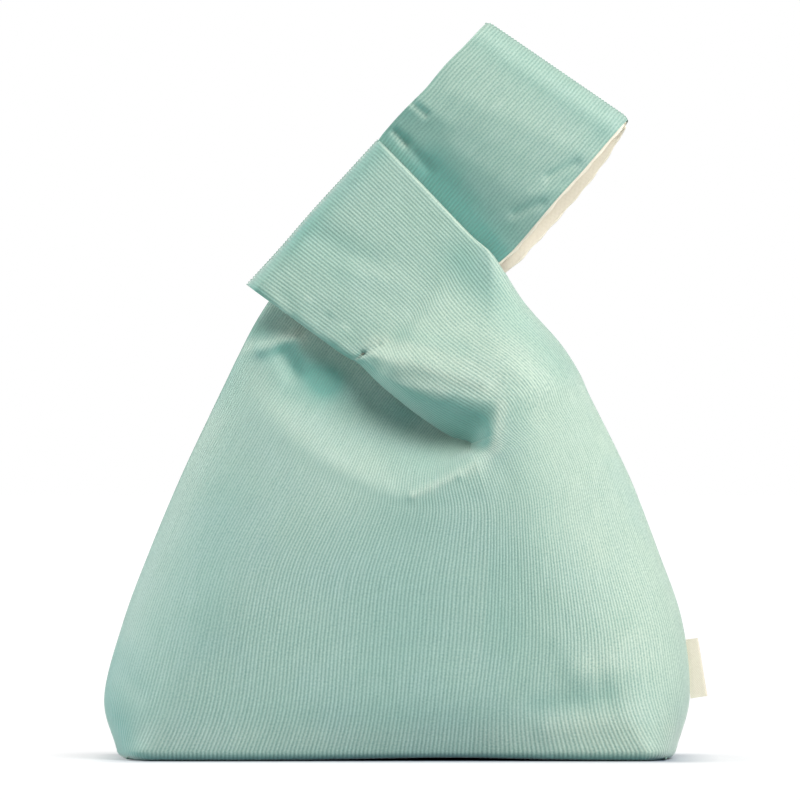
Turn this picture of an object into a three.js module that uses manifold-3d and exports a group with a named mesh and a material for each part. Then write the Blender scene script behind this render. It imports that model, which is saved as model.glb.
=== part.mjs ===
// A wrist bag: a lined corduroy bag on a boxed base, whose long handle is drawn
// through its short handle and leans to the right.
//
// Millimetres. +Z is up, the front faces -Y, and the origin is under the middle of the part.

import * as THREE from 'three';
import { mergeVertices } from 'three/addons/utils/BufferGeometryUtils.js';
import Module from 'manifold-3d';

const wasm = await Module();
wasm.setup();

// Cloth
const corduroy = 1.5; // thickness of the outer cloth
const cotton = 0.6; // thickness of the lining cloth
const layerGap = 0.3; // air between two layers or pieces that touch
const liningGap = 0.7; // air between the outer cloth and its lining, in the sewn shells
const slipGap = 1.2; // air between the long handle and the short handle round it
const seamWidth = 0.8; // width of a sewn seam between two panels

// Body
const baseHalfWidth = 138;
const baseHalfDepth = 38;
const bodyHalfWidth = 150; // at the widest, just above the base
const bodyHalfDepth = 44;
const widestHeight = 32;
const baseEdgeHeight = 9; // height at which the base's rounded edge ends
const baseCorner = 14; // radius of the base's corners, seen from above
const cornerSeamWidth = 2; // of the seam across each end of the base
const cornerSeamInset = 6; // from the front and the back of the base
const cornerSeamHeight = 2.4;

// Knot: where the long handle comes out of the short one.
const knotX = 21.5;
const knotZ = 286;
const lean = THREE.MathUtils.degToRad(42); // the long handle's lean from upright

// Long handle
const neckHalfWidth = 38; // inside the short handle
const neckHalfOpening = 1; // half the space between its front and back linings
const neckLength = 34; // of the neck, up from the body's end
const bodyEnd = 75.5; // how far below the knot the body panels end
const turnRadius = 37.5; // the handle's root is round, so that it can turn in the short handle
const rootTop = 10; // how far above the knot the root ends
const loopWidth = 87;
const loopShift = 0.5; // the loop's middle lies this far right of the knot
const loopLength = 90; // from the knot to the top fold
const loopHalfDepth = 11; // at the middle of the loop
const loopFlare = 3; // the loop is this much deeper than the neck a third of the way up
const loopSkew = 0.132; // rise of the top fold over its run
const loopEntry = 6; // over this length the loop widens from the root's width

// Short handle
const shortHalfWidth = 46; // from the knot's middle to the fold
const shortLength = 98; // along the fold
const shortFold = 6; // the fold rounds off over this width
const foldStart = 8; // the sewn fold starts this far above its lower end
const rollRadius = 6.5; // the front edge rolls under below the knot

// Label: a folded tab in the right side seam, wider at its lower end.
const labelFoot = 30; // height of its lower end
const labelHead = 61; // height of its upper end
const labelFootReach = 9.2;
const labelHeadReach = 6.8;
const labelFootRise = 1.6; // the tab's outer corners lie this much higher than its inner ones
const labelHeadRise = 0.5;
const labelThickness = 0.6;

// Worked out from the sizes above
const neckHalfDepth = neckHalfOpening + cotton + liningGap + corduroy;
const liningInset = corduroy + liningGap;
const liningInside = liningInset + cotton;
const shortHalfDepth = neckHalfDepth + slipGap + cotton + liningGap + corduroy;
const seamHalf = seamWidth / 2;
const panelStart = seamHalf + layerGap;
const neckEnd = bodyEnd - layerGap - neckLength;
const foldHeight = rootTop + neckHalfDepth + layerGap; // the loop folds about a line this high
const trimLength = 3; // a piece runs this far past its end before it is cut
const beyondFold = shortHalfWidth + 14;
const far = 1000;

const along = new THREE.Vector2(Math.sin(lean), Math.cos(lean));
const across = new THREE.Vector2(Math.cos(lean), -Math.sin(lean));

// A point of the front view, given across the long handle and along it from the knot.
function knotPoint(q, s) {
  return [knotX + across.x * q + along.x * s, knotZ + across.y * q + along.y * s];
}

// A point of the front view, given right of and above the knot.
function fromKnot(x, z) {
  return [knotX + x, knotZ + z];
}

// A rib is one section of a sewn shell: its two ends in the front view, its half depth between
// them, and the widths over which it rounds off to its left and right ends.
function rib(left, right, depth, roundLeft, roundRight = roundLeft) {
  return { left, right, depth, roundLeft, roundRight };
}

// The body from the base to where the long handle leaves it.
const bodyRibs = [
  rib([-baseHalfWidth, 0], [baseHalfWidth, 0], baseHalfDepth, baseCorner),
  rib([4 - bodyHalfWidth, baseEdgeHeight], [bodyHalfWidth - 4.5, baseEdgeHeight], bodyHalfDepth - 2, 24),
  rib([-bodyHalfWidth, widestHeight], [bodyHalfWidth - 1, widestHeight], bodyHalfDepth, 44),
  rib([11 - bodyHalfWidth, 75], [bodyHalfWidth - 7, 75], bodyHalfDepth - 3, 62),
  rib([28 - bodyHalfWidth, 120], [bodyHalfWidth - 21.5, 120], bodyHalfDepth - 9, 70),
  rib([48.5 - bodyHalfWidth, 165], [bodyHalfWidth - 42, 165], bodyHalfDepth - 17, 70),
  rib(fromKnot(-108, -92), fromKnot(71.5, -99), neckHalfDepth + 13.2, 60, 55),
  rib(fromKnot(-99.5, -72), fromKnot(48.5, -91), neckHalfDepth + 7.7, 44, 46),
  rib(fromKnot(-91.5, -52), fromKnot(16.5, -87), neckHalfDepth + 3.7, 26, 28),
  rib(
    knotPoint(-neckHalfWidth, -bodyEnd + trimLength),
    knotPoint(neckHalfWidth, -bodyEnd + trimLength),
    neckHalfDepth,
    6,
  ),
];

// The short handle, which comes off the right shoulder and folds over the neck.
const shortRibs = [
  rib([26 - bodyHalfWidth, 150], [bodyHalfWidth - 26, 150], bodyHalfDepth - 9, 75),
  rib(fromKnot(-119.5, -106), fromKnot(82.5, -110), bodyHalfDepth - 15, 50, 55),
  rib(fromKnot(-105.5, -74), fromKnot(74.5, -95), shortHalfDepth + 12, 30, 50),
  rib(knotPoint(-shortHalfWidth, -shortLength), fromKnot(66.5, -83), shortHalfDepth + 7, shortFold, 45),
  rib(knotPoint(-shortHalfWidth, -75), fromKnot(57.5, -69), shortHalfDepth + 4, shortFold, 40),
  rib(knotPoint(-shortHalfWidth, -45), fromKnot(46.5, -55), shortHalfDepth + 1.5, shortFold, 30),
  rib(knotPoint(-shortHalfWidth, 0), fromKnot(31.5, -33), shortHalfDepth, shortFold, 12),
];

// Front view outline of the short handle: fold, shoulder, then the rolled lower edge.
const shortOutline = [
  knotPoint(-beyondFold, -shortLength),
  knotPoint(-beyondFold, 20),
  fromKnot(53.5, -26),
  fromKnot(98.5, -81),
  fromKnot(77.5, -99),
  fromKnot(54.5, -107),
  fromKnot(34.5, -110),
  fromKnot(24.5, -118),
  fromKnot(18.5, -123),
  fromKnot(6.5, -121.5),
  fromKnot(-6.5, -117),
  fromKnot(-25.5, -103),
  fromKnot(-43.5, -85),
];

// Middle line of the roll, from the notch in the edge round to the crease's blind end: right of
// the knot, in front of it and above it.
const rollPath = [
  [-43.5, -15, -79],
  [-25.5, -20, -93],
  [-7.5, -25, -105],
  [8.5, -28.5, -112],
  [20.5, -29.5, -114],
  [30.5, -27, -106],
];

// Turns a closed geometry into a solid that can be cut and joined.
function solid(geometry) {
  const bare = geometry.clone();
  bare.deleteAttribute('normal');
  bare.deleteAttribute('uv');
  const merged = mergeVertices(bare, 1e-4);
  const mesh = new wasm.Mesh({
    numProp: 3,
    vertProperties: new Float32Array(merged.attributes.position.array),
    triVerts: new Uint32Array(merged.index.array),
  });
  return new wasm.Manifold(mesh);
}

// Turns a solid back into a geometry.
function geometryOf(manifold) {
  const mesh = manifold.getMesh();
  const geometry = new THREE.BufferGeometry();
  geometry.setAttribute('position', new THREE.BufferAttribute(new Float32Array(mesh.vertProperties), 3));
  geometry.setIndex(new THREE.BufferAttribute(new Uint32Array(mesh.triVerts), 1));
  geometry.computeVertexNormals();
  return geometry;
}

// A box solid between two corners.
function block(low, high) {
  const size = high.map((h, i) => h - low[i]);
  const box = new THREE.BoxGeometry(...size);
  box.translate(...high.map((h, i) => (h + low[i]) / 2));
  return solid(box);
}

const frontSide = block([-far, -far, -far], [far, -panelStart, far]);
const backSide = block([-far, panelStart, -far], [far, far, far]);
const seamSlab = block([-far, -seamHalf, -far], [far, seamHalf, far]);

// A smooth value through the ribs, at t from 0 to 1.
function smooth(values, t) {
  const curve = new THREE.SplineCurve(values.map((v, i) => new THREE.Vector2(i, v)));
  return curve.getPoint(t).y;
}

// One closed section through the ribs at t from 0 to 1, drawn in by inset. Each end is a half
// ellipse as deep as the section, and the stretch between the ends is flat.
function section(ribs, t, inset, { roundSteps, flatSteps }) {
  const at = (pick) => smooth(ribs.map(pick), t);
  const left = new THREE.Vector2(at((r) => r.left[0]), at((r) => r.left[1]));
  const right = new THREE.Vector2(at((r) => r.right[0]), at((r) => r.right[1]));
  const width = right.distanceTo(left);
  const depth = at((r) => r.depth) - inset;
  const step = right.clone().sub(left).normalize();
  const ends = [at((r) => r.roundLeft), at((r) => r.roundRight)].map((r) => Math.min(r, width * 0.49));
  const [roundLeft, roundRight] = ends.map((r) => r - inset);
  const front = [];
  const put = (u, y) => front.push([u, y]);
  for (let i = 0; i <= roundSteps; i += 1) {
    const turn = (Math.PI / 2) * (i / roundSteps);
    put(inset + roundLeft * (1 - Math.cos(turn)), depth * Math.sin(turn));
  }
  for (let i = 1; i < flatSteps; i += 1) {
    put(THREE.MathUtils.lerp(inset + roundLeft, width - inset - roundRight, i / flatSteps), depth);
  }
  for (let i = roundSteps; i >= 0; i -= 1) {
    const turn = (Math.PI / 2) * (i / roundSteps);
    put(width - inset - roundRight * (1 - Math.cos(turn)), depth * Math.sin(turn));
  }
  const back = front.slice(1, -1).reverse().map(([u, y]) => [u, -y]);
  return [...front, ...back].map(
    ([u, y]) => new THREE.Vector3(left.x + step.x * u, -y, left.y + step.y * u),
  );
}

// A closed solid through the sections of ribs, drawn in by inset and capped at both ends. It
// starts floor above the first rib, and runs past the last one by over.
function loft(ribs, inset, options, floor = 0, over = 0) {
  const rings = [];
  for (let k = 0; k <= options.steps; k += 1) {
    rings.push(section(ribs, k / options.steps, inset, options));
  }
  rings[0].forEach((p) => { p.z += floor; });
  if (over > 0) {
    const last = rings[options.steps];
    const before = rings[options.steps - 1];
    const push = centreOf(last).sub(centreOf(before)).setLength(over);
    rings.push(last.map((p) => p.clone().add(push)));
  }
  const sides = rings[0].length;
  const points = [...rings.flat(), centreOf(rings[0]), centreOf(rings[rings.length - 1])];
  const index = [];
  for (let k = 0; k + 1 < rings.length; k += 1) {
    for (let i = 0; i < sides; i += 1) {
      const a = k * sides + i;
      const b = k * sides + ((i + 1) % sides);
      index.push(a, b, b + sides, a, b + sides, a + sides);
    }
  }
  const top = (rings.length - 1) * sides;
  for (let i = 0; i < sides; i += 1) {
    const next = (i + 1) % sides;
    index.push(points.length - 2, next, i, points.length - 1, top + i, top + next);
  }
  const geometry = new THREE.BufferGeometry().setFromPoints(points);
  geometry.setIndex(index);
  return solid(geometry);
}

function centreOf(ring) {
  return ring.reduce((sum, p) => sum.add(p), new THREE.Vector3()).divideScalar(ring.length);
}

// The wall between two insets of a loft, open at its top end. With a floor it is closed at its
// lower end, by as much as it is thick.
function wall(ribs, from, to, options) {
  const lift = options.floor ? 1 : 0;
  return loft(ribs, from, options, lift * from).subtract(loft(ribs, to, options, lift * to, trimLength));
}

// A prism through the whole depth over an outline of the front view.
function prism(outline) {
  const shape = new THREE.Shape(outline.map(([x, z]) => new THREE.Vector2(x, z)));
  const geometry = new THREE.ExtrudeGeometry(shape, { depth: 2 * far, bevelEnabled: false });
  geometry.rotateX(Math.PI / 2);
  geometry.translate(0, far, 0);
  return solid(geometry);
}

// A flat layer of cloth over an outline given across and along the long handle.
function flatLayer(shape, near, farther) {
  const geometry = new THREE.ExtrudeGeometry(shape, {
    depth: farther - near,
    bevelEnabled: false,
    curveSegments: 10,
  });
  geometry.rotateX(Math.PI / 2);
  geometry.translate(0, farther, 0);
  return geometry;
}

const material = {
  corduroy: new THREE.MeshStandardMaterial({ color: 0x9fcdbd, roughness: 0.95, metalness: 0 }),
  lining: new THREE.MeshStandardMaterial({ color: 0xf1ead8, roughness: 0.9, metalness: 0 }),
  thread: new THREE.MeshStandardMaterial({ color: 0x8fbfae, roughness: 0.8, metalness: 0 }),
  label: new THREE.MeshStandardMaterial({ color: 0xf3ecd9, roughness: 0.9, metalness: 0 }),
};

const bag = new THREE.Group();
const knot = new THREE.Group();
knot.position.set(knotX, 0, knotZ);
knot.rotation.y = lean;
bag.add(knot);

function add(parent, name, geometry, look) {
  const mesh = new THREE.Mesh(geometry, look.clone());
  mesh.name = name;
  parent.add(mesh);
}

const bodyOptions = { floor: true, roundSteps: 5, flatSteps: 3, steps: 18 };
const shortOptions = { floor: false, roundSteps: 4, flatSteps: 4, steps: 12 };

// Body: front and back panels with their halves of the base, their linings and the seams.
function makeBody() {
  const side = neckHalfWidth + trimLength;
  const past = prism([
    knotPoint(-side, -bodyEnd), knotPoint(side, -bodyEnd), knotPoint(side, 0), knotPoint(-side, 0),
  ]);
  const outer = wall(bodyRibs, 0, corduroy, bodyOptions).subtract(past);
  const lining = wall(bodyRibs, liningInset, liningInside, bodyOptions).subtract(past).subtract(outer);
  const cornerX = baseHalfWidth - cornerSeamWidth;
  const cornerY = baseHalfDepth - cornerSeamInset;
  const corner = (end, gap) => {
    const inner = end * (cornerX - gap);
    return block(
      [Math.min(inner, end * far), -cornerY - gap, -far],
      [Math.max(inner, end * far), cornerY + gap, cornerSeamHeight + gap],
    );
  };
  const cleared = outer.subtract(corner(-1, layerGap)).subtract(corner(1, layerGap));
  add(bag, 'outer_front_panel', geometryOf(cleared.intersect(frontSide)), material.corduroy);
  add(bag, 'outer_back_panel', geometryOf(cleared.intersect(backSide)), material.corduroy);
  add(bag, 'lining_front_panel', geometryOf(lining.intersect(frontSide)), material.lining);
  add(bag, 'lining_back_panel', geometryOf(lining.intersect(backSide)), material.lining);
  add(bag, 'lining_seam', geometryOf(lining.intersect(seamSlab)), material.lining);

  const ring = cleared.intersect(seamSlab);
  const seamZ = cornerSeamHeight + layerGap;
  const bottomX = cornerX - layerGap;
  const [middleX] = knotPoint(0, -bodyEnd);
  const leftSeam = ring.intersect(block([-far, -far, seamZ], [middleX, far, far]));
  const rightSeam = ring.intersect(block([middleX, -far, seamZ], [far, far, far]));
  const bottomSeam = ring.intersect(block([-bottomX, -far, -far], [bottomX, far, corduroy]));
  add(bag, 'left_side_seam', geometryOf(leftSeam), material.thread);
  add(bag, 'right_side_seam', geometryOf(rightSeam), material.thread);
  add(bag, 'bottom_seam', geometryOf(bottomSeam), material.thread);
  add(bag, 'left_corner_seam', geometryOf(outer.intersect(corner(-1, 0))), material.thread);
  add(bag, 'right_corner_seam', geometryOf(outer.intersect(corner(1, 0))), material.thread);
}

// The roll: below the knot the front edge of the short handle turns under in a soft bolster.
function makeRoll(radius) {
  const points = rollPath.map(([x, y, z]) => new THREE.Vector3(knotX + x, y, knotZ + z));
  const path = new THREE.CatmullRomCurve3(points);
  const sides = 12;
  const ring = new THREE.Shape();
  for (let i = 0; i < sides; i += 1) {
    const turn = (2 * Math.PI * i) / sides;
    const point = [radius * Math.cos(turn), radius * Math.sin(turn)];
    if (i === 0) ring.moveTo(...point);
    else ring.lineTo(...point);
  }
  ring.closePath();
  return solid(new THREE.ExtrudeGeometry(ring, { steps: 24, extrudePath: path, bevelEnabled: false }));
}

// Short handle: front and back layers over the neck, each lined, sewn together at the fold.
function makeShortHandle() {
  const outline = prism(shortOutline);
  const body = loft(bodyRibs, -layerGap, bodyOptions);
  const outer = wall(shortRibs, 0, corduroy, shortOptions).intersect(outline);
  const lining = wall(shortRibs, liningInset, liningInside, shortOptions).intersect(outline);
  const front = outer.intersect(frontSide).add(makeRoll(rollRadius)).subtract(body);
  add(bag, 'short_handle_front', geometryOf(front), material.corduroy);
  add(bag, 'short_handle_back', geometryOf(outer.intersect(backSide)), material.corduroy);
  const liningFront = lining.intersect(frontSide).subtract(makeRoll(rollRadius + layerGap));
  const upper = liningFront.decompose().sort((a, b) => b.volume() - a.volume())[0];
  add(bag, 'short_handle_lining_front', geometryOf(upper), material.lining);
  add(bag, 'short_handle_lining_back', geometryOf(lining.intersect(backSide)), material.lining);
  const foldEnd = foldStart - shortLength;
  const fold = prism([
    knotPoint(-beyondFold, foldEnd), knotPoint(-beyondFold, far), knotPoint(0, far), knotPoint(0, foldEnd),
  ]);
  add(bag, 'short_handle_top_seam', geometryOf(outer.intersect(seamSlab).intersect(fold)), material.thread);
}

// The four flat layers of the long handle inside the short one, over one outline.
function makeNeckLayers(prefix, shape) {
  const liningFace = neckHalfOpening + cotton;
  const outerFace = liningFace + liningGap;
  const layers = [
    ['front', -neckHalfDepth, -outerFace, material.corduroy],
    ['back', outerFace, neckHalfDepth, material.corduroy],
    ['lining_front', -liningFace, -neckHalfOpening, material.lining],
    ['lining_back', neckHalfOpening, liningFace, material.lining],
  ];
  for (const [side, near, farther, look] of layers) {
    add(knot, `${prefix}_${side}`, flatLayer(shape, near, farther), look);
  }
}

function makeNeck() {
  const top = -neckEnd;
  const bottom = -bodyEnd + layerGap;
  const neck = new THREE.Shape();
  neck.moveTo(-neckHalfWidth, bottom);
  neck.lineTo(neckHalfWidth, bottom);
  neck.lineTo(neckHalfWidth, top);
  neck.lineTo(-neckHalfWidth, top);
  neck.closePath();
  makeNeckLayers('neck', neck);

  const root = new THREE.Shape();
  root.absarc(0, 0, turnRadius, Math.PI, 2 * Math.PI, false);
  root.lineTo(turnRadius, rootTop);
  root.lineTo(-turnRadius, rootTop);
  root.closePath();
  makeNeckLayers('handle_root', root);
}

// Side view of the loop's closed end, drawn in by inset: half depths up to the top fold.
function loopProfile(inset) {
  const side = [
    [neckHalfDepth - inset, rootTop - trimLength],
    [neckHalfDepth - inset, foldHeight],
    [neckHalfDepth - inset, foldHeight + neckHalfDepth],
    [neckHalfDepth + loopFlare - inset, loopLength * 0.33],
    [loopHalfDepth - inset, loopLength * 0.58],
    [loopHalfDepth - 1 - inset, loopLength * 0.8],
    [loopHalfDepth * 0.5 - inset * 0.7, loopLength - 3 - inset * 0.8],
    [0, loopLength - inset],
  ];
  const half = new THREE.SplineCurve(side.map(([y, s]) => new THREE.Vector2(y, s))).getPoints(15);
  const mirrored = half.slice(0, -1).reverse().map((p) => new THREE.Vector2(-p.x, p.y));
  return new THREE.Shape([...half, ...mirrored]);
}

// The loop's profile carried across its width, with the top fold at a skew.
function loopSolid(inset) {
  const width = loopWidth + 2 * trimLength;
  const geometry = new THREE.ExtrudeGeometry(loopProfile(inset), { depth: width, bevelEnabled: false });
  const position = geometry.attributes.position;
  for (let i = 0; i < position.count; i += 1) {
    const y = position.getX(i);
    const s = position.getY(i);
    const q = position.getZ(i) - width / 2 + loopShift;
    const rise = (q * loopSkew * Math.max(0, s)) / loopLength;
    position.setXYZ(i, q, y, s + rise);
  }
  return solid(geometry);
}

// The loop's wall between two insets, narrowed where it meets the root. Its lower end is round
// about the line that it folds about.
function loopWall(from, to) {
  const left = loopShift - loopWidth / 2;
  const right = loopShift + loopWidth / 2;
  const shape = new THREE.Shape();
  shape.moveTo(-turnRadius, rootTop);
  shape.lineTo(turnRadius, rootTop);
  shape.lineTo(right, rootTop + loopEntry);
  shape.lineTo(right, loopLength * 2);
  shape.lineTo(left, loopLength * 2);
  shape.lineTo(left, rootTop + loopEntry);
  shape.closePath();
  const trim = solid(flatLayer(shape, -loopLength, loopLength));
  const turn = new THREE.CylinderGeometry(neckHalfDepth, neckHalfDepth, 2 * loopWidth, 32);
  turn.rotateZ(Math.PI / 2);
  turn.translate(0, 0, foldHeight);
  const kept = solid(turn).add(block([-far, -far, foldHeight], [far, far, far]));
  return loopSolid(from).intersect(trim).intersect(kept).subtract(loopSolid(to));
}

function makeLoop() {
  const outer = loopWall(0, corduroy);
  const lining = loopWall(liningInset, liningInside);
  add(knot, 'long_handle_front', geometryOf(outer.intersect(frontSide)), material.corduroy);
  add(knot, 'long_handle_back', geometryOf(outer.intersect(backSide)), material.corduroy);
  add(knot, 'long_handle_lining_front', geometryOf(lining.intersect(frontSide)), material.lining);
  add(knot, 'long_handle_lining_back', geometryOf(lining.intersect(backSide)), material.lining);
  add(knot, 'long_handle_top_seam', geometryOf(outer.intersect(seamSlab)), material.thread);
}

// The right side seam at one height, as the straight stretch there extended up and down. The seam
// bulges, so its other stretches lie inside this line.
function seamLine(height) {
  const ends = [];
  for (let k = 0; k <= bodyOptions.steps; k += 1) {
    const at = (i) => smooth(bodyRibs.map((r) => r.right[i]), k / bodyOptions.steps);
    ends.push([at(0), at(1)]);
  }
  const next = ends.findIndex(([, z]) => z > height);
  const [low, high] = [ends[next - 1], ends[next]];
  return (z) => THREE.MathUtils.mapLinear(z, low[1], high[1], low[0], high[0]);
}

// Label: a folded tab of cotton, caught in the right side seam.
function makeLabel() {
  const seam = seamLine((labelFoot + labelHead) / 2);
  const foot = seam(labelFoot) + layerGap;
  const head = seam(labelHead) + layerGap;
  const shape = new THREE.Shape();
  shape.moveTo(foot, labelFoot);
  shape.lineTo(foot + labelFootReach, labelFoot + labelFootRise);
  shape.lineTo(head + labelHeadReach, labelHead + labelHeadRise);
  shape.lineTo(head, labelHead);
  shape.closePath();
  add(bag, 'side_label', flatLayer(shape, -labelThickness / 2, labelThickness / 2), material.label);
}

makeBody();
makeShortHandle();
makeNeck();
makeLoop();
makeLabel();

// The origin goes under the middle of the whole part, label included.
const extent = new THREE.Box3().setFromObject(bag);
bag.position.set(-(extent.min.x + extent.max.x) / 2, 0, -extent.min.z);

export default bag;
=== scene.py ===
"""A lined corduroy knot bag on a boxed base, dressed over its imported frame.

Lengths are in metres, +Z is up and the front faces -Y. A point of the front view is also
given as a drawing step across and down the picture, which is 800 steps wide.
"""

import logging
import math
from dataclasses import dataclass, field
from enum import Enum
from typing import Callable, Sequence

import bmesh
import bpy
import numpy as np
from numpy.typing import NDArray
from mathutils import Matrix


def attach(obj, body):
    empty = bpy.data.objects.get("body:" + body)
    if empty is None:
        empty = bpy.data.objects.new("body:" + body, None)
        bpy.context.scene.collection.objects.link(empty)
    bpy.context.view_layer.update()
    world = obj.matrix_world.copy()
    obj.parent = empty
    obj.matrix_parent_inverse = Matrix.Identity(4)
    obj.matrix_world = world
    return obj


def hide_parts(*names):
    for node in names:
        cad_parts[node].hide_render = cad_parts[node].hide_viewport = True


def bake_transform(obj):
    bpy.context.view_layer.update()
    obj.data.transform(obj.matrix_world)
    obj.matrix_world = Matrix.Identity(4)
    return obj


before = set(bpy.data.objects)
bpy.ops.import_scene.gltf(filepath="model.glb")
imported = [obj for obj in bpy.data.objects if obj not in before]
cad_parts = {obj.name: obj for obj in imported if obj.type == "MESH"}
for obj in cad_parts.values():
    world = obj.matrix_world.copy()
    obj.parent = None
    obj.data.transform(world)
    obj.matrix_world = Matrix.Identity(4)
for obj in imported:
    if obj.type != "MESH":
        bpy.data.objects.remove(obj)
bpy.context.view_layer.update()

Array = NDArray[np.float64]
Numbers = Sequence[float]
Colour = tuple[float, float, float]
Point = tuple[float, float, float]
Pair = tuple[float, float]
Steps = tuple[float, float]  # a point of the front view, in drawing steps
Surface = Callable[..., Array]  # points of a part, from its rows and the shares of each row

MM = 0.001
STEP = 0.5128 * MM  # one drawing step
STEP_MIDDLE = 398.0  # drawing step across that the part's measured middle lies on
MIDDLE_SHIFT = 4.343 * MM  # the part's middle from that, label included
FLOOR_STEP = 758.0  # drawing step down that the floor lies on
KNOT = (0.017157, 0.286)  # the knot's place across and its height
LEAN = (0.669131, 0.743145)  # the long handle's direction, across and up
PAINTED_LIGHT_DIRECTION = (0.50, 0.45, 0.74)  # where the painted light comes from: across, out of its panel and up
PAINTED_LIGHT_RANGE = (0.30, 1.15)  # added to a normal's part along that, and divided by, for 0 to 1
JOINED = 2e-6  # m between points that are one
NO_AREA = 1e-12  # twice the area of a face that is left out, in square metres

log = logging.getLogger("bag")


class Side(Enum):
    """Which way a panel faces. The value is the sign of its depth."""

    FRONT = -1.0
    BACK = 1.0


def across(step: Array | float) -> Array | float:
    """Place across of a drawing step."""
    return (step - STEP_MIDDLE) * STEP - MIDDLE_SHIFT


def above(step: Array | float) -> Array | float:
    """Height of a drawing step."""
    return (FLOOR_STEP - step) * STEP


def smoothstep(x: Array) -> Array:
    """Ease from 0 to 1: three squares less two cubes of x, held from 0 to 1."""
    x = np.clip(x, 0.0, 1.0)
    return x * x * (3.0 - 2.0 * x)


def quarter(x: Array) -> Array:
    """Rise of a quarter circle: the root of one less the square of one less x, held from 0 to 1."""
    return np.sqrt(np.maximum(0.0, 1.0 - (1.0 - np.clip(x, 0.0, 1.0)) ** 2))


def quarter_turn(count: int) -> Array:
    """Even angles from none to a quarter turn."""
    return np.linspace(0.0, math.pi / 2, count)


def crest(wales: Array) -> Array:
    """Share of a wale's height: half a cosine wave to each, from 0 to 1."""
    return 0.5 + 0.5 * np.cos(2 * math.pi * wales)


def unit(vectors: Array) -> Array:
    """Vectors over their own lengths."""
    return vectors / np.maximum(np.linalg.norm(vectors, axis=-1, keepdims=True), 1e-15)


def together(*parts: Array | float) -> Array:
    """Numbers put together along a new last axis."""
    return np.stack(np.broadcast_arrays(*parts), axis=-1)


def lengths(path: Array) -> Array:
    """Length along a path at each of its points, or along each row of a grid."""
    step = np.linalg.norm(np.diff(path, axis=-2), axis=-1)
    return np.insert(np.cumsum(step, axis=-1), 0, 0.0, axis=-1)


def cubic(values: Sequence[Array], part: Array) -> Array:
    """Smooth value from the second of four to the third, its slopes half the steps across them."""
    a, b, c, d = values
    return b + 0.5 * part * (
        c - a + part * (2 * a - 5 * b + 4 * c - d + part * (3 * (b - c) + d - a))
    )


def run_on(values: Array) -> Array:
    """A list that runs straight on for one place past both ends."""
    return np.concatenate([2 * values[:1] - values[1:2], values, 2 * values[-1:] - values[-2:-1]])


def through(values: Array | Numbers, at: Array) -> Array:
    """Smooth values through a list.

    Args:
        values: The list along the first axis.
        at: Places in the list, from 0 to its length less one.

    Returns:
        The values there, with the shape of at and then the list's other axes.
    """
    values = np.asarray(values, float)
    at = np.clip(np.asarray(at, float), 0, len(values) - 1)
    low = np.minimum(at.astype(int), len(values) - 2)
    run = run_on(values)
    part = (at - low).reshape(at.shape + (1,) * (values.ndim - 1))
    return cubic([run[low + k] for k in range(4)], part)


def between(knots: Numbers, values: Numbers, at: Array) -> Array:
    """Smooth values through points at uneven places: the place is eased before the smooth cubic."""
    return through(values, np.interp(at, knots, np.arange(len(knots))))


def net_at(net: Array, rows: Array, part: Array) -> Array:
    """Smooth points of a net of rows and columns.

    Args:
        net: Rows by columns by numbers.
        rows: Place among the rows, one for each line of part.
        part: Share of each row from its left end, one line for each of rows.

    Returns:
        The numbers there, in the shape of part and then the numbers of the net.
    """
    columns = np.swapaxes(through(net, rows), 0, 1)
    run = run_on(columns)
    at = np.clip(part, 0.0, 1.0) * (len(columns) - 1)
    low = np.minimum(at.astype(int), len(columns) - 2)
    line = np.arange(len(rows))[:, None]
    return cubic([run[low + k, line] for k in range(4)], (at - low)[..., None])


def knot_point(q: Array | float, s: Array | float, y: Array | float) -> Array:
    """A point given across and along the long handle from the knot, and its depth."""
    x, z = KNOT
    return together(x + LEAN[1] * q + LEAN[0] * s, y, z - LEAN[0] * q + LEAN[1] * s)


@dataclass(frozen=True)
class Fold:
    """A soft ridge or dent across the cloth between two points of the front view. Lines of painted light and
    shade use it too.
    """

    start: Steps
    end: Steps
    width: float  # half width, in drawing steps
    height: float  # in mm, less than 0 for a dent; as a painted mark, the share of painted light added, less than 0 for painted shade

    def bell(self, x: Array, z: Array) -> Array:
        """Share of the fold at points: 1 over e to the square of their distance over its width.

        Args:
            x: Places across.
            z: Heights.

        Returns:
            The share at each, 1 on the fold's line.
        """
        start = np.array([across(self.start[0]), above(self.start[1])])
        end = np.array([across(self.end[0]), above(self.end[1])])
        run = end - start
        share = ((x - start[0]) * run[0] + (z - start[1]) * run[1]) / max(float(run @ run), 1e-12)
        share = np.clip(share, 0.0, 1.0)
        gap = np.hypot(x - start[0] - share * run[0], z - start[1] - share * run[1])
        return np.exp(-((gap / (self.width * STEP)) ** 2))


def fold_rows(*rows: Sequence[float]) -> tuple[Fold, ...]:
    """Folds, each from its start, its end, its width and its height."""
    return tuple(Fold((a, b), (c, d), width, height) for a, b, c, d, width, height in rows)


def lifted(folds: Sequence[Fold], x: Array, z: Array) -> Array:
    """Sum of the heights of several folds, in metres."""
    return sum((fold.height * MM * fold.bell(x, z) for fold in folds), np.zeros_like(x))


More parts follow.
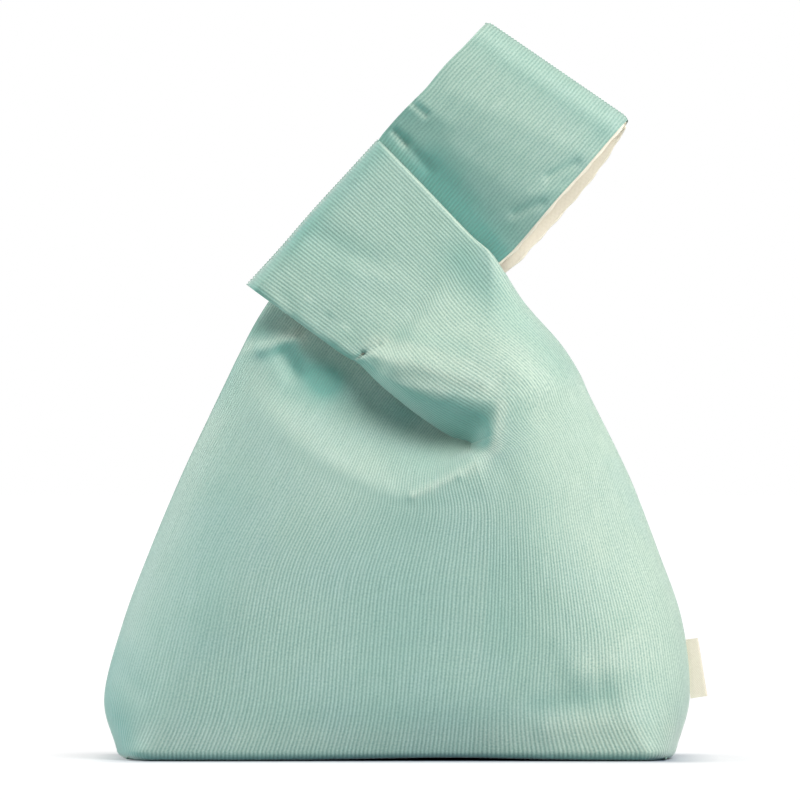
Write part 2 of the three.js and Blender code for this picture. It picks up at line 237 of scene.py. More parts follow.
def painted_light_of(outward: Array, shading_strokes: Sequence[Fold], points: Array) -> Array:
    """Painted light and shade on the pile, 0 to 1, paler where it faces the light.

    The light is painted as from the upper right, so the value grows with the normal's part along
    that direction, front and back alike. Then painted highlight and shade along the given lines are added.

    Args:
        outward: Unit normals.
        shading_strokes: Strokes of painted highlight that add to it, and of painted shade that take from it.
        points: The points that the normals are at.

    Returns:
        The value at each point.
    """
    aside, out, up = PAINTED_LIGHT_DIRECTION
    lean = aside * outward[..., 0] + out * np.abs(outward[..., 1]) + up * outward[..., 2]
    painted_light = np.clip((lean + PAINTED_LIGHT_RANGE[0]) / PAINTED_LIGHT_RANGE[1], 0.0, 1.0)
    added = sum(shading_stroke.height * shading_stroke.bell(points[..., 0], points[..., 2]) for shading_stroke in shading_strokes)
    return np.clip(painted_light + added, 0.0, 1.0)


@dataclass
class Patch:
    """A grid of points with a place on the cloth for each: wale across, length along."""

    points: Array
    cloth: Array
    outward: bool = True  # whether columns crossed with rows point outwards
    painted_light: Array | float = 0.6  # painted light and shade on the pile, 0 to 1


def make_mesh(name: str, patches: Sequence[Patch]) -> bpy.types.Object:
    """One smooth mesh of several grids, joined where their points meet.

    Args:
        name: The piece's name.
        patches: Its grids. Neighbouring points of a grid are joined by four-sided faces.

    Returns:
        The piece.
    """
    faces, start = [], 0
    for patch in patches:
        shape = patch.points.shape[:2]
        number = start + np.arange(shape[0] * shape[1]).reshape(shape)
        ring = [number[:-1, :-1], number[:-1, 1:], number[1:, 1:], number[1:, :-1]]
        if not patch.outward:
            ring[1], ring[3] = ring[3], ring[1]
        faces.append(np.stack(ring, axis=-1).reshape(-1, 4))
        start += number.size
    face = np.concatenate(faces)
    point = np.concatenate([patch.points.reshape(-1, 3) for patch in patches])
    place = np.concatenate([patch.cloth.reshape(-1, 2) for patch in patches])
    painted_light = np.concatenate([np.broadcast_to(p.painted_light, p.points.shape[:2]).ravel() for p in patches])
    corner = point[face]
    cross = np.cross(corner[:, 2] - corner[:, 0], corner[:, 3] - corner[:, 1])
    face = face[np.linalg.norm(cross, axis=1) > NO_AREA]
    used, joined = np.unique(face, return_inverse=True)
    mesh = bpy.data.meshes.new(name)
    mesh.from_pydata(point[used], [], joined.reshape(face.shape).tolist())
    # The painted light and shade of each point, which the material reads.
    pale = mesh.attributes.new("painted_light", "FLOAT", "POINT")
    pale.data.foreach_set("value", painted_light[used].astype(np.float32))
    uv = mesh.uv_layers.new(name="cloth")
    uv.data.foreach_set("uv", place[face.ravel()].astype(np.float32).ravel())
    work = bmesh.new()
    work.from_mesh(mesh)
    bmesh.ops.remove_doubles(work, verts=work.verts, dist=JOINED)
    work.to_mesh(mesh)
    work.free()
    mesh.polygons.foreach_set("use_smooth", np.ones(len(mesh.polygons), dtype=bool))
    mesh.update()
    piece = bpy.data.objects.new(name, mesh)
    bpy.context.scene.collection.objects.link(piece)
    return piece


def tube(path: Array, radius: Array | float, sides: int = 8, level: Point = (0.0, 1.0, 0.0)) -> Patch:
    """A round profile carried along a path, closed at both ends.

    Args:
        path: Points of the middle line.
        radius: Radius, one for the path or one for each point.
        sides: Points round the profile.
        level: A direction that the path never runs in.

    Returns:
        The grid, with metres along and round as its place on the cloth.
    """
    step = unit(np.gradient(path, axis=0))
    out = unit(np.cross(step, np.broadcast_to(np.array(level), step.shape)))
    ahead = np.cross(out, step)
    turn = np.linspace(0.0, 2 * math.pi, sides + 1)
    size = np.pad(np.broadcast_to(np.asarray(radius, float), len(path)), 1)
    path, out, ahead = (np.pad(v, ((1, 1), (0, 0)), mode="edge") for v in (path, out, ahead))
    ring = out[:, None] * np.cos(turn)[None, :, None] + ahead[:, None] * np.sin(turn)[None, :, None]
    cloth = together(turn[None, :] * 0.001, lengths(path)[:, None])
    return Patch(path[:, None] + ring * size[:, None, None], cloth, False)


class Value:
    """A node socket that carries a number, with arithmetic that adds Math nodes."""

    def __init__(self, shader: "Shader", socket: bpy.types.NodeSocket) -> None:
        """Wraps a socket of a shader."""
        self.shader = shader
        self.socket = socket

    def _math(self, operation: str, first: "Value | float", second: "Value | float") -> "Value":
        """A Math node of an operation on two values."""
        return self.shader.value("Math", {"operation": operation}, [first, second])

    def __add__(self, other: "Value | float") -> "Value":
        """Sum."""
        return self._math("ADD", self, other)

    __radd__ = __add__

    def __sub__(self, other: "Value | float") -> "Value":
        """Difference."""
        return self._math("SUBTRACT", self, other)

    def __rsub__(self, other: "Value | float") -> "Value":
        """Difference from a number."""
        return self._math("SUBTRACT", other, self)

    def __mul__(self, other: "Value | float") -> "Value":
        """Product."""
        return self._math("MULTIPLY", self, other)

    __rmul__ = __mul__

    def __truediv__(self, other: "Value | float") -> "Value":
        """Quotient."""
        return self._math("DIVIDE", self, other)

    def __pow__(self, other: float) -> "Value":
        """Power."""
        return self._math("POWER", self, other)

    def __abs__(self) -> "Value":
        """Size without sign."""
        return self._math("ABSOLUTE", self, 0.0)

    def least(self, other: "Value | float") -> "Value":
        """The smaller of two values."""
        return self._math("MINIMUM", self, other)

    def most(self, other: "Value | float") -> "Value":
        """The larger of two values."""
        return self._math("MAXIMUM", self, other)

    def cosine(self) -> "Value":
        """Cosine."""
        return self._math("COSINE", self, 0.0)

    def held(self) -> "Value":
        """Held from 0 to 1."""
        return self.most(0.0).least(1.0)

    def ramp(self, start: float, over: float) -> "Value":
        """From 0 at a start to 1 a distance past it."""
        return ((self - start) / over).held()


class Shader:
    """The node tree of a material or of the world, with one method that adds any node."""

    def __init__(self, owner: bpy.types.Material | bpy.types.World) -> None:
        """Clears a tree down to its output.

        Args:
            owner: The material or the world that the tree belongs to.
        """
        owner.use_nodes = True
        self.owner = owner
        self.tree = owner.node_tree
        self.tree.nodes.clear()
        self.output = self.add("OutputWorld" if isinstance(owner, bpy.types.World) else "OutputMaterial")

    def add(
        self,
        kind: str,
        settings: dict[str, object] | None = None,
        inputs: Sequence[object] | dict[object, object] = (),
    ) -> bpy.types.Node:
        """Adds a node.

        Args:
            kind: The end of the node's type.
            settings: Its properties, set first.
            inputs: Values or links of its sockets, by order, or by number or name.

        Returns:
            The node.
        """
        made = self.tree.nodes.new(f"ShaderNode{kind}")
        for key, value in (settings or {}).items():
            setattr(made, key, value)
        for key, value in inputs.items() if isinstance(inputs, dict) else enumerate(inputs):
            self.feed(made.inputs[key], value)
        return made

    def feed(self, socket: bpy.types.NodeSocket, value: object) -> None:
        """Sets or links one input socket.

        Args:
            socket: The socket.
            value: A value or a socket to link, or a number, a vector or a colour to set.
        """
        if isinstance(value, Value):
            value = value.socket
        if isinstance(value, bpy.types.NodeSocket):
            self.tree.links.new(value, socket)
        elif socket.type == "RGBA":
            socket.default_value = (*value, 1.0)
        else:
            socket.default_value = value

    def value(self, kind: str, settings: dict[str, object], inputs: object, out: int | str = 0) -> Value:
        """Adds a node, and gives one of its outputs as a number."""
        return Value(self, self.add(kind, settings, inputs).outputs[out])

    def parts(self, vector: object) -> list[Value]:
        """The three numbers of a vector."""
        return [Value(self, socket) for socket in self.add("SeparateXYZ", {}, [vector]).outputs]

    def place(self) -> bpy.types.NodeSocket:
        """Place on the object, in metres."""
        return self.add("TexCoord").outputs["Object"]

    def noise(self, vector: object, scale: float, detail: float = 2.0, rough: float = 0.5) -> Value:
        """Noise of a scale on a vector."""
        inputs = {"Vector": vector, "Scale": scale, "Detail": detail, "Roughness": rough}
        return self.value("TexNoise", {}, inputs)

    def mix(self, factor: "Value | float", first: object, second: object) -> bpy.types.NodeSocket:
        """Mix of two colours."""
        return self.add("Mix", {"data_type": "RGBA"}, {0: factor, 6: first, 7: second}).outputs[2]

    def either(self, factor: Value, first: object, second: object) -> bpy.types.NodeSocket:
        """Mix of two shaders."""
        return self.add("MixShader", {}, [factor, first, second]).outputs[0]

    def plain(self, kind: str, colour: Colour, **inputs: object) -> bpy.types.NodeSocket:
        """A plain shader of a colour."""
        return self.add(kind, {}, {"Color": colour, **inputs}).outputs[0]

    def cloth(self, across_scale: float = 1.0, along_scale: float = 1.0) -> tuple[Value, Value, object]:
        """Place on the cloth.

        Args:
            across_scale: Factor across, in the vector.
            along_scale: Factor along, in the vector.

        Returns:
            The number across, the number along, and both as one scaled vector.
        """
        place = self.add("UVMap", {"uv_map": "cloth"}).outputs[0]
        scales = (across_scale, along_scale, 1.0)
        scaled = self.add("VectorMath", {"operation": "MULTIPLY"}, [place, scales]).outputs[0]
        return (*self.parts(place)[:2], scaled)

    def fabric(self, relief: tuple[float, float, Value], inputs: dict[str, object]) -> bpy.types.Material:
        """Ends the tree in a cloth's shader over a bump of a strength, a distance and a height."""
        bump = self.add("Bump", {}, dict(zip(("Strength", "Distance", "Height"), relief)))
        return self.finish(self.add("BsdfPrincipled", {}, {"Normal": bump.outputs[0], **inputs}).outputs[0])

    def finish(self, shader: bpy.types.NodeSocket) -> bpy.types.Material | bpy.types.World:
        """Links the last shader to the output."""
        self.feed(self.output.inputs["Surface"], shader)
        return self.owner


@dataclass(frozen=True)
class CorduroyFinish:
    """Fine cotton corduroy: pale rounded wales, darker grooves with painted shade, and painted light
    and shade on the pile by the way it faces.
    """

    name: str = "corduroy"
    pale: Colour = (0.53, 0.65, 0.55)  # painted highlight, where the pile faces the light
    deep: Colour = (0.115, 0.35, 0.30)  # painted shade, where the pile faces away from the light
    cool: Colour = (0.29, 0.47, 0.49)  # of soft cooler patches at random, and of a painted cool shade low on the bag, to the left
    # Of the grooves between the wales, darker with painted shade.
    shaded_groove: Colour = (0.13, 0.28, 0.24)
    tufts: Pair = (2.0, 1100.0)  # of the pile, to a wale and to a metre along it
    streaks: Pair = (0.9, 70.0)  # the same
    bump: Pair = (0.4, 0.2 * MM)  # strength and depth
    roughness: float = 0.60
    cool_shade_height: Pair = (0.20, 0.10)  # where the painted cool shade starts, and how far under that it is all there
    cool_shade_across: Pair = (0.09, 0.07)  # the same, to the left

    def make(self) -> bpy.types.Material:
        """Builds the material on the place on the cloth, in wales across and metres along.

        The painted light attribute mixes the deep colour of painted shade with the pale one of painted
        highlight, and patches of noise shift it to the cool one, as does a painted cool shade low on
        the bag. Half a cosine wave to each wale, broken by noise, mixes in the darker colour of the
        grooves, a painted shade.

        Returns:
            The material.
        """
        s = Shader(bpy.data.materials.new(self.name))
        wale, _, tufts = s.cloth(*self.tufts)
        _, _, streaks = s.cloth(*self.streaks)
        place = s.place()
        painted_light = s.value("Attribute", {"attribute_name": "painted_light"}, (), "Fac")
        ridge = 0.5 + 0.5 * (wale * (2 * math.pi)).cosine()
        tuft = s.noise(tufts, 1.0, 3.0, 0.65)
        streak = s.noise(streaks, 1.0, 3.0, 0.6)
        patch = s.noise(place, 20.0, 5.0, 0.68)
        painted_light_mottled = (painted_light + (patch - 0.5) * 0.35).held()
        x, _, height = s.parts(place)
        # A painted cool shade, low on the bag and towards the left.
        under = ((self.cool_shade_height[0] - height) / self.cool_shade_height[1]).held()
        low = under * ((self.cool_shade_across[0] - x) / self.cool_shade_across[1]).held()
        cool_mottle_and_shade = (((patch - 0.45) * 2.5).held() * 0.35 + low * 0.24).held()
        top = s.mix(cool_mottle_and_shade, s.mix(painted_light_mottled, self.deep, self.pale), self.cool)
        raised = (ridge * 0.46 + 0.46 + (tuft - 0.5) * 1.5 + (streak - 0.5) * 0.5).held()
        relief = (*self.bump, ridge * 0.5 + tuft * 0.6 + streak * 0.2)
        inputs = {
            "Base Color": s.mix(raised, self.shaded_groove, top),
            "Roughness": self.roughness + (tuft - 0.5) * 0.16,
            "Sheen Weight": 0.8,
            "Sheen Roughness": 0.4,
            "Sheen Tint": (1.0, 1.0, 0.96),
            "Specular IOR Level": 0.45,
        }
        return s.fabric(relief, inputs)


@dataclass(frozen=True)
class CottonFinish:
    """Plain woven cotton with a fine over and under weave."""

    name: str
    colour: Colour
    under: Colour
    threads: float = 2200.0  # threads to the metre
    bump: Pair = (0.35, 0.12 * MM)  # strength and depth
    roughness: float = 0.84

    def make(self) -> bpy.types.Material:
        """Builds the weave on the place on the cloth, in metres both ways.

        The weave is the product of a cosine wave across and one along, half a wave to a thread.

        Returns:
            The material.
        """
        s = Shader(bpy.data.materials.new(self.name))
        u, v, _ = s.cloth()
        turn = math.pi * self.threads
        over = (u * turn).cosine() * (v * turn).cosine()
        place = s.place()
        slub = s.noise(place, 900.0, 2.0, 0.6)
        patch = s.noise(place, 22.0, 2.0, 0.5)
        shade = (0.5 + 0.28 * over + (slub - 0.5) * 0.5 + (patch - 0.5) * 0.5).held()
        inputs = {
            "Base Color": s.mix(shade, self.under, self.colour),
            "Roughness": self.roughness + (slub - 0.5) * 0.1,
            "Sheen Weight": 0.15,
            "Specular IOR Level": 0.15,
        }
        return s.fabric((*self.bump, over * 0.5 + slub * 0.5), inputs)


LINING = CottonFinish("cream_cotton", (0.92, 0.87, 0.74), (0.70, 0.64, 0.52))
TAPE = CottonFinish("cream_tape", (0.88, 0.83, 0.71), (0.66, 0.60, 0.48), 1500.0)
THREAD = CottonFinish("mint_thread", (0.36, 0.56, 0.47), (0.17, 0.31, 0.26), 1200.0)


@dataclass(frozen=True)
class Stuff:
    """What a piece is made of."""

    slot: str  # its material slot in the record
    material: bpy.types.Material


@dataclass
class Cloths:
    """The stuffs, each made once."""

    corduroy: Stuff = field(default_factory=lambda: Stuff("corduroy", CorduroyFinish().make()))
    lining: Stuff = field(default_factory=lambda: Stuff("lining", LINING.make()))
    tape: Stuff = field(default_factory=lambda: Stuff("label", TAPE.make()))
    thread: Stuff = field(default_factory=lambda: Stuff("thread", THREAD.make()))


def make_piece(
    name: str, patches: Sequence[Patch], stuff: Stuff, nodes: Sequence[str], body: str = "bag"
) -> bpy.types.Object:
    """One dressed piece of the bag.

    Args:
        name: The piece's name.
        patches: Its grids.
        stuff: What it is made of.
        nodes: The solids that it is shown for.
        body: The body that it rides on, or nothing for a piece that is blended.

    Returns:
        The piece.
    """
    piece = make_mesh(name, patches)
    piece.data.materials.append(stuff.material)
    if body:
        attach(piece, body)
    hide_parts(*nodes)
    log.info("%s: %d faces", piece.name, len(piece.data.polygons))
    return piece


# Left part of a panel, from the left side seam to the line that runs up from the hem to the blind
# end of the crease. Above that it goes under the short handle. Rows from the hem up.
LEFT_NET = (
    ((117, 748), (212, 748), (299, 748), (385, 748), (470, 748)),
    ((105, 697), (200, 698), (293, 699), (384, 700), (474, 700)),
    ((124, 622), (214, 627), (303, 632), (393, 637), (482, 640)),
    ((150, 552), (235, 561), (318, 571), (402, 581), (486, 585)),
    ((182, 476), (256, 505), (330, 528), (408, 541), (488, 541)),
    ((214, 408), (279, 454), (345, 490), (414, 508), (487, 503)),
    ((227, 381), (292, 430), (355, 470), (416, 491), (475, 462)),
    ((240, 354), (306, 405), (366, 447), (423, 466), (471, 444)),
    ((259, 318), (324, 366), (386, 412), (438, 438), (488, 424)),
    ((292, 268), (352, 322), (414, 374), (466, 410), (516, 398)),
)
# Depth at each point of the net, and the width that each row rounds over at the seam, in mm.
LEFT_DEPTH = (
    (42, 43, 41, 39, 38),
    (42, 43, 43.5, 43.5, 43.5),
    (40, 41, 42, 42.5, 42.5),
    (34, 37, 39.5, 41, 41.5),
    (28, 32.5, 37, 39, 40.5),
    (22, 27, 33, 38, 39),
    (19, 23.5, 30, 36.5, 36),
    (15, 12.5, 19, 28, 19),
    (8, 5, 8, 12.5, 11),
    (6, 4.6, 5, 7, 7),
)
LEFT_ROUND = (18, 44, 60, 67, 68, 60, 52, 44, 30, 20)
LEFT_START = (7.5, 1.5) + (0,) * 8  # first wale of each row at the seam

# Right part of a panel: the right body, the roll and the short handle up to its top fold.
RIGHT_NET = (
    ((470, 748), (522, 748), (572, 748), (624, 748), (676, 748)),
    ((474, 700), (530, 700), (585, 699), (638, 697), (689, 695)),
    ((482, 640), (535, 638), (587, 634), (637, 628), (681, 620)),
    ((486, 585), (534, 580), (580, 573), (621, 562), (657, 550)),
    ((488, 541), (530, 532), (568, 520), (602, 505), (633, 487)),
    ((487, 503), (526, 493), (560, 480), (590, 463), (616, 450)),
    ((475, 462), (514, 457), (547, 446), (576, 432), (601, 420)),
    ((471, 444), (506, 430), (539, 416), (566, 403), (588, 394)),
    ((460, 440), (499, 404), (532, 388), (557, 377), (578, 372)),
    ((447, 434), (466, 392), (498, 366), (530, 352), (559, 343)),
    ((421, 417), (437, 372), (464, 343), (494, 322), (523, 302)),
    ((388, 391), (403, 354), (430, 318), (461, 288), (493, 256)),
    ((357, 365), (384, 333), (414, 299), (442, 267), (470, 235)),
    ((302, 325), (331, 289), (362, 254), (392, 220), (423, 186)),
    ((247, 285), (280, 249), (312, 212), (345, 176), (378, 140)),
)
RIGHT_DEPTH = (
    (38, 40.5, 43, 43.5, 42),
    (43.5, 43.2, 42.5, 42.2, 41),
    (42.5, 42.5, 41, 39, 37),
    (41.5, 41, 38.5, 34.5, 31),
    (40.5, 39.5, 35.5, 30, 26),
    (39, 37.6, 33.2, 27.5, 23),
    (36, 36.2, 32, 26.5, 21.5),
    (37, 36, 31.8, 26.5, 21),
    (36, 36.3, 32, 26, 20),
    (34.5, 35, 32.4, 24.5, 18.5),
    (31, 32.5, 26.3, 19.5, 15.5),
    (24.5, 28, 18.8, 12.3, 10.8),
    (17.5, 17.5, 12.8, 10.8, 9.8),
    (15, 14, 11.6, 10.2, 9.4),
    (14.8, 13, 11.2, 10, 9.2),
)
# Of each row: the fold's depth, the width it rounds over, and the right edge's width and depth.
RIGHT_EDGE = (38, 44, 43, 40.5, 38, 36.5, 35, 18.5, 14, 13, 13.5, 14.5, 14.5, 13.6, 13.3)
RIGHT_ROLL = (14,) * 7 + (12, 17, 17, 12, 6.5, 4.5, 4, 4)
RIGHT_ROUND = (18, 44, 60, 67, 64, 56, 50, 46, 42, 34, 24, 3, 2, 2, 2)
RIGHT_END = (0,) * 11 + (8.6, 8, 7.6, 7.4)
RIGHT_HEM = (0,) * 11 + (1,) * 4  # where the right edge is a turned hem

# Wales across the left part and across each row of the right one, and how much closer they lie
# at the side seam.
LEFT_WALES = 110
RIGHT_WALES = (60, 70, 72, 72, 70, 66, 64, 63, 62, 61, 60, 58, 57, 57, 57)
LEFT_CROWD = (0, 0, 0.12, 0.2, 0.17, 0.1, 0.05, 0, 0, 0)
RIGHT_CROWD = (0, 0.04, 0.1, 0.14, 0.14, 0.1, 0.04) + (0,) * 8

CREASE_ROW = 7  # row at which the crease ends, and the two parts join
LAST_ROW = len(RIGHT_NET) - 1  # the top fold
TOP_ROW = 33.0  # mm of cloth in the last row
TOP_ROUND = 6.0  # mm that the top fold rounds over

# What the back's depths have more than the front's beside the crease, and less on the handle.
BACK_FILL = ((0, 2, 5, 5, 12), (0, 2, 3, 7, 10))
BACK_BULGE = (0, 0, 0, 0, 0, 0, 0, 2, 6, 7, 6, 4, 2, 0, 0)
BACK_BULGE_ACROSS = (1.0, 0.9, 0.4, 0.1, 0.0)

# Each fold: its start and end, its half width, and its height in mm.
# The rim of the hollow beside the crease, and soft creases low on both sides.
BODY_FOLDS = fold_rows(
    (236, 350, 262, 349, 8, 1.6),
    (262, 349, 296, 338, 7, 3.0),
    (284, 354, 294, 372, 9, -3.0),
    (256, 328, 302, 310, 9, -1.6),
    (476, 462, 458, 474, 4, 0.8),
    (458, 474, 412, 494, 5, 1.2),
    (330, 470, 250, 600, 40, 1.2),
    (118, 668, 142, 690, 9, -1.0),
    (112, 645, 132, 640, 8, 0.6),
    (534, 705, 606, 694, 11, -0.7),
    (545, 723, 640, 717, 13, 1.0),
    (575, 670, 640, 666, 13, 0.8),
    (379, 357, 392, 366, 12, 3.0),
    (668, 648, 690, 664, 7, -1.3),
    (560, 640, 590, 690, 14, 0.6),
    (595, 660, 600, 690, 9, -0.5),
)

# Draws towards the short handle's roll, and puckers along it.
HANDLE_FOLDS = fold_rows(
    (322, 240, 366, 262, 15, -1.2),
    (352, 268, 404, 290, 14, 0.7),
    (379, 357, 392, 366, 12, 3.0),
    (285, 300, 292, 318, 9, -0.7),
    (376, 353, 482, 383, 8, 1.1),
    (296, 316, 306, 302, 5, 0.7),
    (318, 331, 327, 318, 4.5, -0.7),
    (334, 343, 344, 330, 4, 0.8),
    (354, 361, 364, 352, 2.6, -2.6),
    (364, 352, 380, 345, 3.0, -1.6),
    (500, 300, 540, 330, 16, -0.6),
)

# Strokes of painted light and shade on both parts: painted shade beside the crease, under the short handle
# and along its top, and painted highlights along ridges and edges.
LEFT_PAINTED_LIGHT = fold_rows(
    (266, 340, 326, 380, 19, -0.60),
    (326, 380, 405, 414, 19, -0.35),
    (405, 414, 455, 436, 19, -0.20),
    (290, 390, 425, 455, 26, -0.32),
    (236, 348, 300, 338, 8, 0.42),
    (476, 465, 412, 496, 5, 0.35),
    (205, 420, 122, 620, 25, 0.34),
    (228, 500, 205, 640, 22, -0.10),
    (395, 560, 400, 650, 60, -0.12),
    (150, 735, 470, 735, 16, 0.20),
)
RIGHT_PAINTED_LIGHT = fold_rows(
    (378, 350, 486, 384, 13, 0.50),
    (444, 414, 478, 430, 11, -0.60),
    (480, 426, 485, 440, 7, -0.25),
    (501, 406, 495, 446, 6, 0.40),
    (495, 446, 474, 467, 6, 0.35),
    (245, 280, 384, 135, 16, -0.40),
    (385, 372, 440, 392, 9, 0.30),
    (300, 235, 345, 262, 24, -0.18),
    (462, 262, 562, 368, 22, -0.28),
    (400, 334, 462, 348, 8, -0.12),
    (565, 420, 610, 530, 34, 0.16),
    (490, 570, 500, 650, 40, -0.10),
    (480, 735, 660, 735, 18, 0.28),
    (534, 705, 606, 694, 10, -0.12),
    (550, 723, 632, 718, 10, 0.18),
    (590, 662, 645, 642, 18, 0.12),
    (560, 420, 520, 360, 20, 0.15),
)
NOTCH = (361.0, 357.0)  # the ribs bunch here, at the end of the roll


@dataclass
class Panel:
    """One panel of the body, front or back, with its half of the base and its short handle layer."""

    side: Side
    cloths: Cloths
    rib: float = 0.21 * MM  # height of a wale
    samples: int = 4  # columns of points to the wale
    body_lines: int = 10  # lines of points to a row of the net
    handle_lines: int = 17  # the same on the short handle
    left_row: float = 20 * MM  # of cloth to a row of the left part above the crease
    roll_power: float = 1.9
    back_hem: Pair = (1.2, 2.0)  # depth of the back's hem below the cloth, and its width, in mm
    base_round: float = 5.0 * MM
    base_turn: float = 7.9 * MM  # of cloth round that
    clearance: float = 0.4 * MM  # between the base's cloth and the floor's plane
    arch: float = 1.3 * MM  # lift of the base's edge in its middle
    arch_middle: float = 445.0  # in drawing steps
    arch_width: float = 105 * STEP
    hem_width: float = 6.0 * MM  # of the cloth turned in along a free edge
    hem_depth: float = 2.0 * MM
    hem_lines: int = 5
    hem_wales: float = 0.4  # wales to a line of points on it
    hem_columns: int = 8  # columns of points in from the edge that show which way is in
    bunch: float = 0.40  # share of the distance drawn in towards the notch
    bunch_across: float = 0.35  # share of that across the front
    bunch_width: float = 17 * STEP
    back_folds: float = 0.3  # share of the folds' height at the back
    back_fold_width: float = 9  # least half width of the folds shown there, in drawing steps
    back_fold_height: float = 2  # most height of those, in mm
    fine: int = 241  # points of a row that its length is summed over
    flat: Pair = (0.330, 0.400)
    area: float = 0.088

    def _net(self, net: Sequence[Sequence[Steps]], depth: Array) -> Array:
        """A net as places across, heights and depths, in metres."""
        steps = np.asarray(net, float)
        return np.dstack([across(steps[..., 0]), above(steps[..., 1]), depth * MM])

    def _at(self, values: Numbers, rows: Array, least: float = 0.0) -> Array:
        """A list of millimetres through the rows, as a column, in metres."""
        return np.maximum(through(values, rows), least)[:, None] * MM

    def _chord(self, lines: Array) -> Array:
        """Straight distance between the ends of lines in the front view, as a column."""
        return np.hypot(*(lines[:, -1, :2] - lines[:, 0, :2]).T)[:, None]

    def _top(self, rows: Array) -> Array:
        """Share of the depth that is left near the top fold: a quarter circle."""
        return quarter((LAST_ROW - rows) * TOP_ROW / TOP_ROUND)

    def _folds(self, folds: Sequence[Fold], x: Array, z: Array) -> Array:
        """The front's folds, and at the back a soft share of the wide ones.

        Args:
            folds: The folds.
            x: Places across.
            z: Heights.

        Returns:
            The sum of their heights at each place, in metres.
        """
        if self.side is Side.FRONT:
            return lifted(folds, x, z)
        wide = [fold for fold in folds if fold.width >= self.back_fold_width]
        low = [fold for fold in wide if abs(fold.height) < self.back_fold_height]
        return self.back_folds * lifted(low, x, z)

    def _left_net(self) -> Array:
        """The left part's net.

        Returns:
            The net, whose depths at the back have no hollow beside the crease.
        """
        depth = np.array(LEFT_DEPTH, float)
        if self.side is Side.BACK:
            depth[CREASE_ROW : CREASE_ROW + 2] += BACK_FILL
        return self._net(LEFT_NET, depth)

    def _right_tables(self) -> tuple[Array, Array, Array]:
        """The right part's tables.

        Returns:
            Depths, fold depths and roll widths, which at the back give a plain hem and no roll.
        """
        depth, edge, roll = (np.array(table, float) for table in (RIGHT_DEPTH, RIGHT_EDGE, RIGHT_ROLL))
        if self.side is Side.BACK:
            depth = depth - np.outer(BACK_BULGE, BACK_BULGE_ACROSS)
            hem = np.arange(len(edge)) >= CREASE_ROW
            edge = np.where(hem, depth[:, 0] - self.back_hem[0], edge)
            roll = np.where(hem, self.back_hem[1], roll)
        return depth, edge, roll

    def left_surface(self, rows: Array, part: Array, folded: bool = True) -> Array:
        """Points of the left part.

        The depth is the net's depth times the quarter circle over the distance to the side seam,
        and the folds are added to it.

        Args:
            rows: Place among the net's rows.
            part: Shares of each row.
            folded: Whether the folds are in it.

        Returns:
            The points, rows by shares.
        """
        net = self._left_net()
        at = net_at(net, rows, part)
        x, z, deep = at[..., 0], at[..., 1], at[..., 2]
        rise = quarter(part * self._chord(through(net, rows)) / self._at(LEFT_ROUND, rows, 5.0))
        lift = self._folds(BODY_FOLDS, x, z) if folded else 0.0
        return together(x, self.side.value * (deep + lift) * rise, z)

    def right_surface(self, rows: Array, part: Array, folded: bool = True) -> Array:
        """Points of the right part.

        The depth is the net's, less the drop to the fold's depth over the roll's width at the
        left edge, and less the drop to the end's depth over its width at the right edge. The left
        drop is a power of what is left of the width, and the right one follows a quarter circle.
        Towards the top fold the depth follows a quarter circle to nothing. Up to the crease's end
        the left edge is the left part's last line.

        Args:
            rows: Place among the net's rows.
            part: Shares of each row.
            folded: Whether the folds and the bunched ribs are in it.

        Returns:
            The points, rows by shares.
        """
        depth, edge, roll = self._right_tables()
        net = self._net(RIGHT_NET, depth)
        at = net_at(net, rows, part)
        ends = through(net, rows)
        shared = (rows <= CREASE_ROW + 1e-9)[:, None]
        line = through(self._left_net()[:, -1], np.minimum(rows, CREASE_ROW))
        pull = np.where(shared, line[:, :2] - ends[:, 0, :2], 0.0)
        at[..., :2] += pull[:, None] * ((1.0 - part) ** 3)[..., None]
        x, z, deep = at[..., 0], at[..., 1], at[..., 2]
        chord = self._chord(ends)
        left = np.clip(1.0 - part * chord / self._at(roll, rows, 1.5), 0.0, 1.0) ** self.roll_power
        right = 1.0 - quarter((1.0 - part) * chord / self._at(RIGHT_ROUND, rows, 2.0))
        start = np.where(shared, line[:, 2:], self._at(edge, rows))
        if folded:
            handle = smoothstep((rows - CREASE_ROW) * 1.2)[:, None]
            body = self._folds(BODY_FOLDS, x, z)
            lift = body * (1.0 - handle) + self._folds(HANDLE_FOLDS, x, z) * handle
            deep = deep + lift * (1.0 - right) * (1.0 - 0.5 * left * handle)
            start = start + np.where(shared, body, 0.0)
        deep = deep - (deep - start) * left - (deep - self._at(RIGHT_END, rows)) * right
        if self.side is Side.FRONT and folded:
            x, z = self._bunched(x, z)
        return together(x, self.side.value * deep * self._top(rows)[:, None], z)

    def _bunched(self, x: Array, z: Array) -> tuple[Array, Array]:
        """Places drawn in towards the notch, by a share that falls off as a bell with the distance.

        Args:
            x: Places across.
            z: Heights.

        Returns:
            The new places across and heights.
        """
        middle = (across(NOTCH[0]), above(NOTCH[1]))
        gap = np.hypot(x - middle[0], z - middle[1])
        pull = self.bunch * np.exp(-((gap / self.bunch_width) ** 2))
        return x - (x - middle[0]) * pull * self.bunch_across, z - (z - middle[1]) * pull

